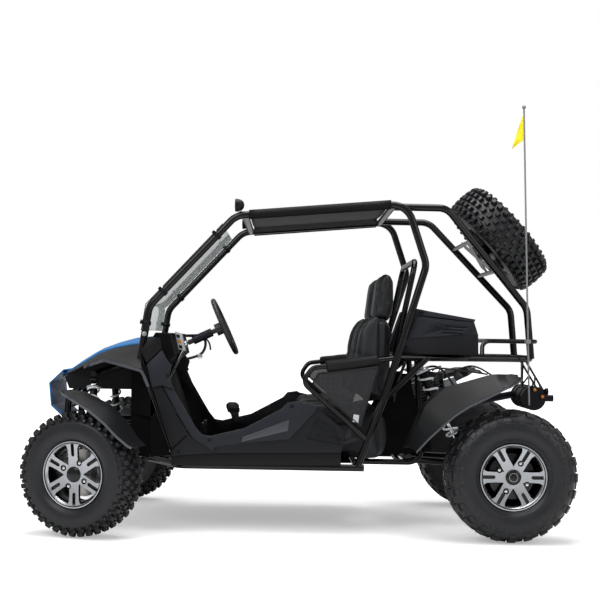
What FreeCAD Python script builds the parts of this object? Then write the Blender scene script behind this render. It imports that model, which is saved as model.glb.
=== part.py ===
import FreeCAD
import Part
import math
import os

# Two-seat off-road buggy with a tubular cage. Millimetres, +X forward, +Y to its left, +Z up.
# The origin is on the ground, on the centre plane, midway between the axles.
# Stations named REAR_... are counted forward from the rear axle, FRONT_... forward from the front axle.

# Wheels and stance
WHEELBASE = 1780.0
FRONT_TRACK = 1248.0
REAR_TRACK = 1130.0
FRONT_TYRE_RADIUS = 263.0
FRONT_TYRE_WIDTH = 178.0
REAR_TYRE_RADIUS = 279.0
REAR_TYRE_WIDTH = 250.0
BEAD_RADIUS = 127.0
RIM_LIP = 12.0
RIM_WALL = 6.0
FRONT_RIM_WIDTH = 146.0
REAR_RIM_WIDTH = 206.0
HUB_RADIUS = 34.0
SPOKE_COUNT = 6
SPOKE_ROOT = 30.0
SPOKE_END = 50.0
SPOKE_SLOT = 15.0
SPOKE_SLOT_START = 62.0
SPOKE_DEPTH = 16.0
FACE_RECESS = 12.0
CAP_HEIGHT = 8.0
DISC_RADIUS = 96.0
DISC_THICKNESS = 4.0
FRONT_LUGS = 24
REAR_LUGS = 20
FRONT_LUG_DEPTH = 15.0
REAR_LUG_DEPTH = 13.0
LUG_TIP = 0.235
LUG_FOOT = 0.315

# Steering
KINGPIN_INSET = 55.0
KINGPIN_RADIUS = 10.0
KINGPIN_REACH = 68.0
STEER_REST = 20.5
STEER_ARM = 110.0
STEER_ARM_INSET = 62.0
STEER_ARM_HALF = 9.0
STEER_EYE = 13.0
RACK_RADIUS = 11.0
TIE_ROD_RADIUS = 8.0
COLUMN_RADIUS = 11.0
COLUMN_DROP = 25.0
STEERING_WHEEL_RADIUS = 136.0
STEERING_GRIP = 11.0
DRIVER_Y = 235.0

# Tubes
CAGE_TUBE = 16.0
FRAME_TUBE = 15.0
CROSS_STEP = 2.0
RAIL_OVERHANG = 30.0
GUARD_TUBE = 11.0
PAD_RADIUS = 25.0
ARM_TUBE = 8.0
ARM_SLEEVE = 13.0
CAGE_HALF = 448.0
CAGE_BEND = 90.0
TAIL_HALF_TOP = 359.0
TAIL_HALF_LOW = 210.0

# Frame heights and half widths
RAIL_Z = 290.0
RAIL_HALF = 485.0
NOSE_HALF = 190.0
UPPER_RAIL_Z = 765.0
COWL_BAR_Z = 740.0
REAR_CROSS = 640.0
FRONT_CROSS = -375.0
ROOF_FRONT_Z = 1366.0
ROOF_REAR_Z = 1428.0

# Panels
PANEL = 5.0
SIDE_PANEL_HALF = 523.0
SIDE_PANEL_THICKNESS = 14.0
FLOOR_THICKNESS = 4.0
HOOD_FRONT = 200.0
HOOD_REAR = -240.0
HOOD_HALF_FRONT = 150.0
HOOD_HALF_REAR = 250.0
GLASS = 3.0
GUARD_THICKNESS = 5.0
STAY_TUBE = 6.0

# Seats
SEAT_Y = 235.0
SEAT_WIDTH = 400.0
HEADREST_WIDTH = 250.0
BOLSTER = 66.0

SEAT_REAR = 496.0
SEAT_FRONT = 950.0
CUSHION_Z = 545.0

# Running gear
AXLE_RADIUS = 18.0
STUB_RADIUS = 12.0
DISC_Y = 34.0
SHOCK_EYE = 13.0
SHOCK_PIN = 6.0
REAR_SHOCK_Y = 260.0
REAR_SHOCK_TOP = 362.0
REAR_SHOCK_FOOT = 141.0
FRONT_SHOCK_TOP_Y = 330.0
FRONT_SHOCK_FOOT_Y = 470.0
SWING_PIVOT = 390.0
ENGINE_CROSS = 438.0
ENGINE_BAR_RISE = 6.0
SWING_Y = 120.0

# Load and signals
SPARE_STANDOFF = 144.0
SPARE_SHARE = 0.464
SPARE_BAR_HALF = 90.0
SPARE_BAR = 10.0
RACK_Z = 843.0
RACK_HALF = 225.0
RACK_TUBE = 10.0
POLE_RADIUS = 4.0
POLE_Y = 277.0
POLE_TOP = 1885.0
FLAG_DROP = 160.0
FLAG_REACH = 54.0
FLAG_THICKNESS = 2.0
LAMP_RADIUS = 36.0
INDICATOR_Y = 70.0
INDICATOR_RADIUS = 18.0
MUFFLER_RADIUS = 52.0
TAIL_PIPE = 15.0
FIN_RISES = (22.0, 36.0, 50.0, 64.0, 78.0, 92.0)
OUTLET_DEPTH = 50.0

# Fits
SEAT_GAP = 0.3
RUNNING_GAP = 0.05
MOVING_GAP = 6.0

X_REAR = -WHEELBASE / 2
X_FRONT = WHEELBASE / 2
Y_AXIS = FreeCAD.Vector(0, 1, 0)
Z_AXIS = FreeCAD.Vector(0, 0, 1)
X_AXIS = FreeCAD.Vector(1, 0, 0)


def at_rear(x, y, z):
    return FreeCAD.Vector(X_REAR + x, y, z)


def at_front(x, y, z):
    return FreeCAD.Vector(X_FRONT + x, y, z)


def mirrored(point):
    return FreeCAD.Vector(point.x, -point.y, point.z)


def mirror(shape):
    return shape.mirror(FreeCAD.Vector(0, 0, 0), Y_AXIS)


def fuse(shapes):
    if len(shapes) == 1:
        return shapes[0]
    return shapes[0].multiFuse(shapes[1:]).removeSplitter()


def largest(shape):
    """The main solid of a coped shape, without the slivers beyond the cope."""
    return max(shape.Solids, key=lambda solid: solid.Volume)


def pair(shape):
    """A piece and its mirror image, as two solids of one node."""
    return Part.makeCompound([shape, mirror(shape)])


def bent_path(points, radius):
    """Straight runs joined by tangent arcs."""
    edges = []
    start = points[0]
    for before, corner, after in zip(points, points[1:], points[2:]):
        into = (before - corner).normalize()
        out = (after - corner).normalize()
        half = into.getAngle(out) / 2
        reach = min((before - corner).Length, (after - corner).Length)
        cut = min(radius / math.tan(half), 0.45 * reach)
        arc_radius = cut * math.tan(half)
        middle = corner + (into + out).normalize() * (arc_radius / math.sin(half) - arc_radius)
        edges.append(Part.LineSegment(start, corner + into * cut).toShape())
        edges.append(Part.Arc(corner + into * cut, middle, corner + out * cut).toShape())
        start = corner + out * cut
    edges.append(Part.LineSegment(start, points[-1]).toShape())
    return Part.Wire(edges)


def tube(points, radius, bend=60.0):
    """A round bar along the points, with bent corners."""
    direction = points[1] - points[0]
    if len(points) == 2:
        return Part.makeCylinder(radius, direction.Length, points[0], direction)
    path = bent_path(points, bend)
    circle = Part.Wire([Part.Circle(points[0], direction, radius).toShape()])
    return path.makePipeShell([circle], True, True)


def polygon_prism(points, direction):
    """The closed outline through the points, pushed along the direction."""
    return Part.Face(Part.makePolygon(points + [points[0]])).extrude(direction)


def side_plate(outline, y_low, y_high):
    """A plate from an outline of (x, z) pairs, between two y values."""
    points = [FreeCAD.Vector(x, y_low, z) for x, z in outline]
    return polygon_prism(points, FreeCAD.Vector(0, y_high - y_low, 0))


def plan_prism(outline, z_low, z_high):
    """A prism from an outline of (x, y) pairs, between two heights."""
    points = [FreeCAD.Vector(x, y, z_low) for x, y in outline]
    return polygon_prism(points, FreeCAD.Vector(0, 0, z_high - z_low))


def bent_sheet(line, thickness, y_low, y_high):
    """A sheet that follows a line of (x, z) pairs, with its thickness to the line's right."""
    normals = []
    for (x0, z0), (x1, z1) in zip(line, line[1:]):
        length = math.hypot(x1 - x0, z1 - z0)
        normals.append(((z1 - z0) / length, -(x1 - x0) / length))
    offset = []
    for index, (x, z) in enumerate(line):
        a = normals[max(index - 1, 0)]
        b = normals[min(index, len(normals) - 1)]
        scale = thickness / (1 + a[0] * b[0] + a[1] * b[1])
        offset.append((x + (a[0] + b[0]) * scale, z + (a[1] + b[1]) * scale))
    return side_plate(line + offset[::-1], y_low, y_high)


def revolved(profile, angle=360.0):
    """A ring about the Y axis from (radius, y) pairs, starting at the front."""
    points = [FreeCAD.Vector(r, y, 0) for r, y in profile]
    face = Part.Face(Part.makePolygon(points + [points[0]]))
    return face.revolve(FreeCAD.Vector(0, 0, 0), Y_AXIS, -angle)


def placed(shape, position):
    moved = shape.copy()
    moved.translate(position)
    return moved


# The cage's corner points, left side
PILLAR_FOOT = at_front(-200, CAGE_HALF, COWL_BAR_Z)
PILLAR_KNEE = at_front(-236, CAGE_HALF, 970)
ROOF_FRONT = at_front(-603, CAGE_HALF, ROOF_FRONT_Z)
ROOF_REAR = at_rear(440, CAGE_HALF, ROOF_REAR_Z)
HOOP_WAIST = at_rear(352, CAGE_HALF, 1166)
HOOP_KNEE = at_rear(530, CAGE_HALF + 12, 580)
HOOP_FOOT = at_rear(REAR_CROSS, RAIL_HALF, RAIL_Z)
CAGE_POINTS = [PILLAR_FOOT, PILLAR_KNEE, ROOF_FRONT, ROOF_REAR, HOOP_WAIST, HOOP_KNEE, HOOP_FOOT]
SHOCK_BAR_Z = 670.0
CRADLE_HALF = 190.0
ARM_RISE = 103.0
ARM_HALF = 118.0
UPPER_RAIL_START = at_rear(470, CAGE_HALF, UPPER_RAIL_Z)
UPPER_RAIL_END = at_rear(-150, TAIL_HALF_LOW, UPPER_RAIL_Z)


def crossing(points, radius):
    """Straight tubes from each point to its mirror image."""
    return [tube([point, mirrored(point)], radius) for point in points]


def frame_tubes(radius):
    """The lower frame and its nose: two long bent rails, with slimmer posts and cross tubes."""
    slim = radius - CROSS_STEP
    arm_rail_z = FRONT_TYRE_RADIUS + KINGPIN_REACH + 8 + ARM_RISE
    sides = [
        tube([
            at_rear(REAR_CROSS - RAIL_OVERHANG, RAIL_HALF, RAIL_Z), at_front(FRONT_CROSS, RAIL_HALF, RAIL_Z),
            at_front(-215, NOSE_HALF, RAIL_Z), at_front(160, NOSE_HALF, RAIL_Z), at_front(150, NOSE_HALF, 560),
            at_front(16, 230, SHOCK_BAR_Z), at_front(-200, 300, COWL_BAR_Z),
        ], radius, 70),
        tube([at_front(-200, CAGE_HALF, COWL_BAR_Z), at_front(FRONT_CROSS, RAIL_HALF, RAIL_Z)], slim),
        tube([at_front(-207, NOSE_HALF, RAIL_Z), at_front(-200, NOSE_HALF, COWL_BAR_Z)], slim),
        tube([at_front(-205, NOSE_HALF, arm_rail_z), at_front(155, NOSE_HALF, arm_rail_z)], slim),
        tube([
            at_rear(REAR_CROSS, CRADLE_HALF, RAIL_Z), at_rear(330, CRADLE_HALF, RAIL_Z),
            at_rear(REAR_SHOCK_TOP, CRADLE_HALF, UPPER_RAIL_Z),
        ], slim),
    ]
    bars = crossing([
        at_rear(REAR_CROSS, RAIL_HALF, RAIL_Z), at_front(FRONT_CROSS + 6, RAIL_HALF, RAIL_Z),
        at_front(-200, CAGE_HALF + slim, COWL_BAR_Z), at_front(152, NOSE_HALF, 520),
        at_front(-195, NOSE_HALF, RAIL_Z), at_rear(ENGINE_CROSS, CRADLE_HALF, RAIL_Z + ENGINE_BAR_RISE),
        at_front(16, FRONT_SHOCK_TOP_Y + 18, SHOCK_BAR_Z),
    ], slim)
    return sides + [mirror(side) for side in sides] + bars


def upper_tubes(radius):
    """The rear rails in one bow, their knee braces and the seat hoop, which end on the cage."""
    slim = radius - CROSS_STEP
    bow = [UPPER_RAIL_START, at_rear(150, 300, UPPER_RAIL_Z), UPPER_RAIL_END]
    bow += [mirrored(point) for point in bow[::-1]]
    brace = tube([at_rear(335, 395, UPPER_RAIL_Z), HOOP_KNEE], slim)
    hoop = [at_rear(470, 300, UPPER_RAIL_Z), at_rear(385, 300, 1192)]
    hoop += [mirrored(point) for point in hoop[::-1]]
    bar_points = [at_rear(REAR_SHOCK_TOP, 398, UPPER_RAIL_Z), at_rear(470, CAGE_HALF, UPPER_RAIL_Z)]
    bars = crossing(bar_points, slim - 1)
    return [tube(bow, radius), brace, mirror(brace), tube(hoop, slim)] + bars


def cage_tubes(radius):
    parts = [tube(CAGE_POINTS, radius, CAGE_BEND)]
    parts.append(tube([mirrored(p) for p in CAGE_POINTS], radius, CAGE_BEND))
    for point in (
        ROOF_FRONT + FreeCAD.Vector(-40, 0, 3.4),
        ROOF_REAR + FreeCAD.Vector(55, 0, -4.7),
    ):
        parts.append(tube([point, mirrored(point)], radius - 1))
    return parts


def coped(shape, tools):
    """The piece cut back from the tools that come near it, without loose slivers."""
    near = [tool for tool in tools if tool.BoundBox.intersect(shape.BoundBox)]
    return largest(shape.cut(near)) if near else shape


def around_axle(shape, count):
    """A shape and its copies, evenly turned about the Y axis."""
    copies = []
    for index in range(count):
        turned = shape.copy()
        turned.rotate(FreeCAD.Vector(0, 0, 0), Y_AXIS, index * 360.0 / count)
        copies.append(turned)
    return copies


def spoke(reach, face_y):
    """A split spoke: a plate that widens towards the rim, open between its two legs."""
    back = face_y - SPOKE_DEPTH
    root = SPOKE_ROOT / 2
    end = SPOKE_END / 2
    slot = SPOKE_SLOT / 2
    plate = side_plate([
        (0, -root), (SPOKE_SLOT_START, -root - 4), (reach, -end), (reach, end), (SPOKE_SLOT_START, root + 4), (0, root),
    ], back, face_y)
    opening = side_plate([
        (SPOKE_SLOT_START, -slot * 0.7), (reach - 9, -slot), (reach - 9, slot), (SPOKE_SLOT_START, slot * 0.7),
    ], back - 1, face_y + 1)
    return plate.cut(opening)


def rim(width, face_y):
    """A wheel rim with split spokes and a centre cap; its outer face looks along +Y."""
    half = width / 2
    lip = BEAD_RADIUS + RIM_LIP
    inner = BEAD_RADIUS - RIM_WALL
    barrel = revolved([
        (lip, -half), (lip, -half + RIM_WALL), (BEAD_RADIUS, -half + RIM_WALL),
        (BEAD_RADIUS, half - RIM_WALL), (lip, half - RIM_WALL), (lip, half), (inner + 4, half),
        (inner, half - 10), (inner, -half),
    ])
    hub = revolved([
        (0, face_y - SPOKE_DEPTH), (HUB_RADIUS + 12, face_y - SPOKE_DEPTH), (HUB_RADIUS + 12, face_y),
        (HUB_RADIUS, face_y), (HUB_RADIUS - 8, face_y + CAP_HEIGHT), (0, face_y + CAP_HEIGHT),
    ])
    return fuse([barrel, hub] + around_axle(spoke(inner + RIM_WALL / 2, face_y), SPOKE_COUNT))


def ring_outline(radius, y, sides):
    """The corners of a regular polygon about the Y axis."""
    corners = []
    for index in range(sides):
        angle = 2 * math.pi * index / sides
        corners.append(FreeCAD.Vector(radius * math.cos(angle), y, radius * math.sin(angle)))
    return corners


def flat_face(corners):
    return Part.Face(Part.makePolygon(corners + corners[:1]))


def faceted(rings, twisted):
    """A solid of flat faces between rings of corners; twisted bands get two triangles a side."""
    faces = [flat_face(rings[0]), flat_face(rings[-1])]
    for low, high in zip(rings, rings[1:]):
        for index in range(len(low)):
            after = (index + 1) % len(low)
            if twisted:
                faces.append(flat_face([low[index], low[after], high[after]]))
                faces.append(flat_face([low[index], high[after], high[index]]))
            else:
                faces.append(flat_face([low[index], low[after], high[after], high[index]]))
    shell = Part.makeShell(faces)
    shell.sewShape()
    solid = Part.Solid(shell)
    if solid.Volume < 0:
        solid.reverse()
    return solid


def lug_ring(radius, root, half, count):
    """The tread as a toothed ring: each tooth is one lug, its flat tip at the rolling radius."""
    pitch = 2 * math.pi / count
    corner = radius / math.cos(LUG_TIP * pitch)
    points = []
    for index in range(count):
        for turn, reach in ((-LUG_FOOT, root), (-LUG_TIP, corner), (LUG_TIP, corner), (LUG_FOOT, root)):
            angle = (index + turn) * pitch
            points.append(FreeCAD.Vector(reach * math.cos(angle), -half, reach * math.sin(angle)))
    return polygon_prism(points, Y_AXIS * (2 * half))


def tyre(radius, width, rim_width, shoulder, lugs, depth):
    """A solid ring out to the lugs' tips, seated between the rim's lips."""
    bead = BEAD_RADIUS + SEAT_GAP
    seat = rim_width / 2 - RIM_WALL - SEAT_GAP
    lip = (BEAD_RADIUS + RIM_LIP + SEAT_GAP) / math.cos(math.pi / lugs)
    half = width / 2
    root = radius - depth
    tread = half - shoulder * 1.1
    carcass = root * math.cos(math.pi / lugs) - 1
    stations = [
        (lip, -seat), (radius * 0.80, -half), (carcass, -tread + 2),
        (carcass, tread - 2), (radius * 0.80, half), (lip, seat),
    ]
    body = faceted([ring_outline(r, y, lugs) for r, y in stations], False)
    hole = Part.makeCylinder(bead, width, FreeCAD.Vector(0, -half, 0), Y_AXIS)
    return fuse([body, lug_ring(radius, root - 4, tread, lugs)]).cut(hole)


KINGPIN_Y = FRONT_TRACK / 2 - KINGPIN_INSET
FRONT_FACE = FRONT_RIM_WIDTH / 2 - FACE_RECESS
REAR_FACE = REAR_RIM_WIDTH / 2 - FACE_RECESS
HUB_BORE = STUB_RADIUS + RUNNING_GAP


def steered(shape, side):
    """Turns a piece modelled straight ahead about its kingpin, and puts it at its wheel."""
    turned = shape.copy()
    if side < 0:
        turned = mirror(turned)
    turned.rotate(FreeCAD.Vector(0, 0, 0), Z_AXIS, -STEER_REST)
    turned.translate(at_front(0, side * KINGPIN_Y, FRONT_TYRE_RADIUS))
    return turned


def knuckle():
    """Left knuckle in its own frame: kingpin on Z, stub axle along +Y, steering arm to the rear."""
    body_half = KINGPIN_REACH - 4
    body = Part.makeCylinder(17, 2 * body_half, FreeCAD.Vector(0, 0, -body_half), Z_AXIS)
    pin_half = KINGPIN_REACH + 20
    pin = Part.makeCylinder(KINGPIN_RADIUS, 2 * pin_half, FreeCAD.Vector(0, 0, -pin_half), Z_AXIS)
    stub = Part.makeCylinder(STUB_RADIUS, KINGPIN_INSET + FRONT_FACE - 4, FreeCAD.Vector(0, 0, 0), Y_AXIS)
    flange = Part.makeCylinder(24, 22, FreeCAD.Vector(0, 0, 0), Y_AXIS)
    arm = plan_prism([
        (8, -8), (-10, 14), (-STEER_ARM, -STEER_ARM_INSET + 11),
        (-STEER_ARM, -STEER_ARM_INSET - 11), (-20, -STEER_ARM_INSET - 11), (8, -24),
    ], -STEER_ARM_HALF, STEER_ARM_HALF)
    eye_low = FreeCAD.Vector(-STEER_ARM, -STEER_ARM_INSET, -STEER_ARM_HALF)
    eye = Part.makeCylinder(STEER_EYE, 2 * STEER_ARM_HALF, eye_low, Z_AXIS)
    caliper = side_plate([(-76, -30), (-100, -30), (-108, -18), (-108, 18), (-100, 30), (-76, 30)], 8, 56)
    bracket = side_plate([(0, -14), (-80, -26), (-80, 26), (0, 14)], 8, 22)
    slot_low = DISC_Y - MOVING_GAP
    slot_width = DISC_THICKNESS + 2 * MOVING_GAP
    slot = Part.makeCylinder(DISC_RADIUS + MOVING_GAP, slot_width, FreeCAD.Vector(0, slot_low, 0), Y_AXIS)
    return fuse([body, pin, stub, flange, arm, eye, bracket, caliper.cut(slot)])


def front_mudguard():
    """Left mudguard over the steered tyre, with the stay that stands on the steering arm's eye."""
    inner_radius = FRONT_TYRE_RADIUS + 82
    outer_radius = FRONT_TYRE_RADIUS + 52
    half = 78.0
    band = revolved([
        (inner_radius, -half), (inner_radius + GUARD_THICKNESS, -half),
        (outer_radius + GUARD_THICKNESS, half), (outer_radius - 12, half + 4), (outer_radius - 12, half),
        (outer_radius, half - 6),
    ], 88.0)
    band.rotate(FreeCAD.Vector(0, 0, 0), Y_AXIS, -82.0)
    band.translate(FreeCAD.Vector(0, KINGPIN_INSET, 0))
    stay_x = -STEER_ARM
    stay_y = -STEER_ARM_INSET
    under = inner_radius - (inner_radius - outer_radius) * 30 / (2 * half)
    top = math.sqrt(under ** 2 - stay_x ** 2)
    stay = tube([
        FreeCAD.Vector(stay_x, stay_y, STEER_ARM_HALF + SEAT_GAP),
        FreeCAD.Vector(stay_x, stay_y, top),
        FreeCAD.Vector(stay_x, KINGPIN_INSET - half + 30, top),
    ], STAY_TUBE, 20.0)
    return fuse([band, stay])


ARM_PIVOT_Y = NOSE_HALF + FRAME_TUBE + ARM_SLEEVE + SEAT_GAP
ARM_SHARE = (KINGPIN_Y - 8 - FRONT_SHOCK_FOOT_Y) / (KINGPIN_Y - 8 - ARM_PIVOT_Y)
SHOCK_FOOT_Z = FRONT_TYRE_RADIUS - KINGPIN_REACH - 8 + ARM_RISE * ARM_SHARE
FRONT_SHOCK_FOOT = at_front(0, FRONT_SHOCK_FOOT_Y, SHOCK_FOOT_Z)
FRONT_SHOCK_TOP = at_front(16, FRONT_SHOCK_TOP_Y, SHOCK_BAR_Z - FRAME_TUBE - SHOCK_EYE - SEAT_GAP)


def front_arms(side):
    """The upper and lower wishbones, with the bosses that hold the kingpin's ends."""
    parts = []
    for up in (1, -1):
        height = FRONT_TYRE_RADIUS + up * (KINGPIN_REACH + 8)
        boss = Part.makeCylinder(19, 16, at_front(0, KINGPIN_Y, height - 8), Z_AXIS)
        legs = []
        for ahead in (1, -1):
            inner = at_front(ahead * ARM_HALF, ARM_PIVOT_Y, height + ARM_RISE)
            legs.append(tube([inner, at_front(0, KINGPIN_Y - 8, height)], ARM_TUBE))
            sleeve = Part.makeCylinder(ARM_SLEEVE, 44, inner - FreeCAD.Vector(22, 0, 0), X_AXIS)
            legs.append(sleeve)
        if up < 0:
            legs.append(Part.makeCylinder(SHOCK_PIN, 70, FRONT_SHOCK_FOOT - X_AXIS * 35, X_AXIS))
        arm = fuse([boss] + legs)
        bore = Part.makeCylinder(KINGPIN_RADIUS + RUNNING_GAP, 60, at_front(0, KINGPIN_Y, height - 30), Z_AXIS)
        parts.append(arm.cut(bore))
    if side < 0:
        parts = [mirror(part) for part in parts]
    return parts


def shock(top, bottom, spring_radius, eye_axis, eye_width):
    """A damper between its eyes, the lower one bored, with two collars that hold the coil spring."""
    axis = bottom - top
    length = axis.Length
    unit = FreeCAD.Vector(axis).normalize()
    rod = Part.makeCylinder(8, length, top, axis)
    body = Part.makeCylinder(spring_radius - 2 * COIL_WIRE - 3, length * 0.5, top + unit * COLLAR_START, axis)
    parts = [rod, body]
    for start in (COLLAR_START - COLLAR, length * COLLAR_SHARE):
        parts.append(Part.makeCylinder(spring_radius + 2, COLLAR, top + unit * start, axis))
    for point in (top, bottom):
        parts.append(Part.makeCylinder(SHOCK_EYE, eye_width, point - eye_axis * (eye_width / 2), eye_axis))
    bore = Part.makeCylinder(SHOCK_PIN + SEAT_GAP, 90, bottom - eye_axis * 45, eye_axis)
    return fuse(parts).cut(bore)


def coil(top, bottom, spring_radius):
    """The coil spring between a shock absorber's collars, wound from short straight lengths."""
    axis = bottom - top
    unit = FreeCAD.Vector(axis).normalize()
    start = COLLAR_START + COIL_WIRE + SEAT_GAP
    rise = axis.Length * COLLAR_SHARE - COIL_WIRE - SEAT_GAP - start
    middle = spring_radius - COIL_WIRE
    steps = COIL_TURNS * COIL_STEPS
    rings = []
    for step in range(steps + 1):
        angle = 2 * math.pi * step / COIL_STEPS
        ring = []
        for side in range(COIL_SIDES):
            turn = 2 * math.pi * side / COIL_SIDES
            reach = middle + COIL_WIRE * math.cos(turn)
            height = rise * step / steps + COIL_WIRE * math.sin(turn)
            ring.append(FreeCAD.Vector(reach * math.cos(angle), reach * math.sin(angle), height))
        rings.append(ring)
    spring = faceted(rings, True)
    spring.Placement = FreeCAD.Placement(top + unit * start, FreeCAD.Rotation(Z_AXIS, unit))
    return spring


COLLAR = 5.0
COLLAR_START = 34.0
COLLAR_SHARE = 0.72
COIL_WIRE = 5.0
COIL_TURNS = 6
COIL_STEPS = 9
COIL_SIDES = 5
REAR_SHOCK_FOOT_Z = 308.0
REAR_SHOCK_HALF = 12.0


def swing_arm():
    """Trailing arm with its pivot sleeve, axle bearings and the beam that the rear shocks stand on."""
    half = CRADLE_HALF - FRAME_TUBE + CROSS_STEP - SEAT_GAP
    parts = [Part.makeCylinder(24, 2 * half, at_rear(SWING_PIVOT, -half, 300), Y_AXIS)]
    for y in (-SWING_Y, SWING_Y):
        parts.append(tube([at_rear(SWING_PIVOT, y, 300), at_rear(0, y, REAR_TYRE_RADIUS)], 19))
        parts.append(Part.makeCylinder(46, 40, at_rear(0, y - 20, REAR_TYRE_RADIUS), Y_AXIS))
    beam_half = REAR_SHOCK_Y - REAR_SHOCK_HALF - SEAT_GAP
    beam_start = at_rear(REAR_SHOCK_FOOT, -beam_half, REAR_SHOCK_FOOT_Z)
    parts.append(Part.makeCylinder(17, 2 * beam_half, beam_start, Y_AXIS))
    pin_half = REAR_SHOCK_Y + REAR_SHOCK_HALF + 3
    pin_start = at_rear(REAR_SHOCK_FOOT, -pin_half, REAR_SHOCK_FOOT_Z)
    parts.append(Part.makeCylinder(SHOCK_PIN, 2 * pin_half, pin_start, Y_AXIS))
    bore = Part.makeCylinder(AXLE_RADIUS + RUNNING_GAP, 400, at_rear(0, -200, REAR_TYRE_RADIUS), Y_AXIS)
    return fuse(parts).cut(bore)


def rear_axle():
    """The live axle with its hub flanges, brake disc and drive flange."""
    centre = at_rear(0, 0, REAR_TYRE_RADIUS)
    face = REAR_TRACK / 2 + REAR_FACE
    back = face - SPOKE_DEPTH - SEAT_GAP
    parts = [Part.makeCylinder(AXLE_RADIUS, 2 * face + 16, centre - Y_AXIS * (face + 8), Y_AXIS)]
    for side in (1, -1):
        parts.append(Part.makeCylinder(30, 70, centre + Y_AXIS * side * back, Y_AXIS * -side))
    parts.append(Part.makeCylinder(88, DISC_THICKNESS, centre - Y_AXIS * 192, Y_AXIS))
    parts.append(Part.makeCylinder(74, 6, centre + Y_AXIS * 188, Y_AXIS))
    return fuse(parts)


def steering_rack():
    """The sliding rack with both tie rods, at its rest shift."""
    reach = KINGPIN_Y - STEER_ARM_INSET
    bar = Part.makeCylinder(RACK_RADIUS, 2 * RACK_HALF_LENGTH, at_front(RACK_X, -RACK_HALF_LENGTH, RACK_Z_LEVEL), Y_AXIS)
    parts = [Part.makeCylinder(TIE_ROD_RADIUS, 2 * reach, at_front(RACK_X, -reach, RACK_Z_LEVEL), Y_AXIS), bar]
    for side in (1, -1):
        low = at_front(RACK_X, side * reach, RACK_Z_LEVEL - ROD_END_HALF)
        parts.append(Part.makeCylinder(ROD_END_RADIUS, 2 * ROD_END_HALF, low, Z_AXIS))
    return placed(fuse(parts), Y_AXIS * RACK_SHIFT)


RACK_SHIFT = STEER_ARM * math.radians(STEER_REST)
RACK_X = 5 - STEER_ARM
ROD_END_HALF = 9.0
ROD_END_RADIUS = 9.0
RACK_HALF_LENGTH = 230.0
RACK_Z_LEVEL = FRONT_TYRE_RADIUS - STEER_ARM_HALF - MOVING_GAP - ROD_END_HALF
WHEEL_CENTRE = at_front(-551, DRIVER_Y, 888)
COLUMN_AXIS = FreeCAD.Vector(math.cos(math.radians(COLUMN_DROP)), 0, -math.sin(math.radians(COLUMN_DROP)))
COLUMN_LENGTH = 193.0
JOINT_BALL = 14.0
COLUMN_END = WHEEL_CENTRE + COLUMN_AXIS * COLUMN_LENGTH
PINION = at_front(RACK_X, 80, RACK_Z_LEVEL + RACK_RADIUS + 16)


def steering_wheel():
    """Three-spoke wheel and its shaft down to the joint at the dash."""
    grip = Part.makeTorus(STEERING_WHEEL_RADIUS - STEERING_GRIP, STEERING_GRIP, WHEEL_CENTRE, COLUMN_AXIS)
    hub = Part.makeCylinder(27, 42, WHEEL_CENTRE, COLUMN_AXIS)
    shaft = Part.makeCylinder(COLUMN_RADIUS, COLUMN_LENGTH - JOINT_BALL - SEAT_GAP, WHEEL_CENTRE, COLUMN_AXIS)
    spokes = []
    for turn in (90.0, 210.0, 330.0):
        spoke = Part.makeBox(STEERING_WHEEL_RADIUS - STEERING_GRIP, 30, 5, FreeCAD.Vector(0, -15, 0))
        about = FreeCAD.Rotation(Z_AXIS, COLUMN_AXIS).multiply(FreeCAD.Rotation(Z_AXIS, turn))
        spoke.Placement = FreeCAD.Placement(WHEEL_CENTRE, about)
        spokes.append(spoke)
    return fuse([grip, hub, shaft] + spokes)


def steering_shaft():
    """Lower shaft from the joint ball to the pinion."""
    direction = PINION - COLUMN_END
    ball = Part.makeSphere(JOINT_BALL, COLUMN_END)
    return fuse([ball, Part.makeCylinder(9, direction.Length - 8, COLUMN_END, direction)])


def steering_housing():
    """Fixed column jacket with its bracket, and the rack housing on the frame."""
    start = WHEEL_CENTRE + COLUMN_AXIS * 62
    jacket = Part.makeCylinder(19, 92, start, COLUMN_AXIS)
    jacket = jacket.cut(Part.makeCylinder(COLUMN_RADIUS + RUNNING_GAP, 120, start - COLUMN_AXIS * 5, COLUMN_AXIS))
    case = Part.makeCylinder(19, 330, at_front(RACK_X, -165, RACK_Z_LEVEL), Y_AXIS)
    ears = []
    for low in (140, -185):
        ears.append(Part.makeBox(20, 45, RAIL_Z + 4 - RACK_Z_LEVEL, at_front(RACK_X - 10, low, RACK_Z_LEVEL)))
    case = fuse([case] + ears).cut(Part.makeCylinder(RACK_RADIUS + RUNNING_GAP, 400, at_front(RACK_X, -200, RACK_Z_LEVEL), Y_AXIS))
    return jacket, case


TOE_FOOT = FRONT_CROSS - 30
FLOOR_Z = RAIL_Z + FRAME_TUBE + SEAT_GAP


def floor_pan():
    """Floor and toe board in one bent sheet, with the hole for the steering shaft."""
    line = [
        (X_REAR + REAR_CROSS + 22, FLOOR_Z + FLOOR_THICKNESS),
        (X_FRONT + TOE_FOOT, FLOOR_Z + FLOOR_THICKNESS),
        (X_FRONT - 262, COWL_BAR_Z - 20),
    ]
    sheet = bent_sheet(line, FLOOR_THICKNESS, -RAIL_HALF + 45, RAIL_HALF - 45)
    direction = PINION - COLUMN_END
    return sheet.cut(Part.makeCylinder(9 + MOVING_GAP, direction.Length, COLUMN_END, direction))


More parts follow.
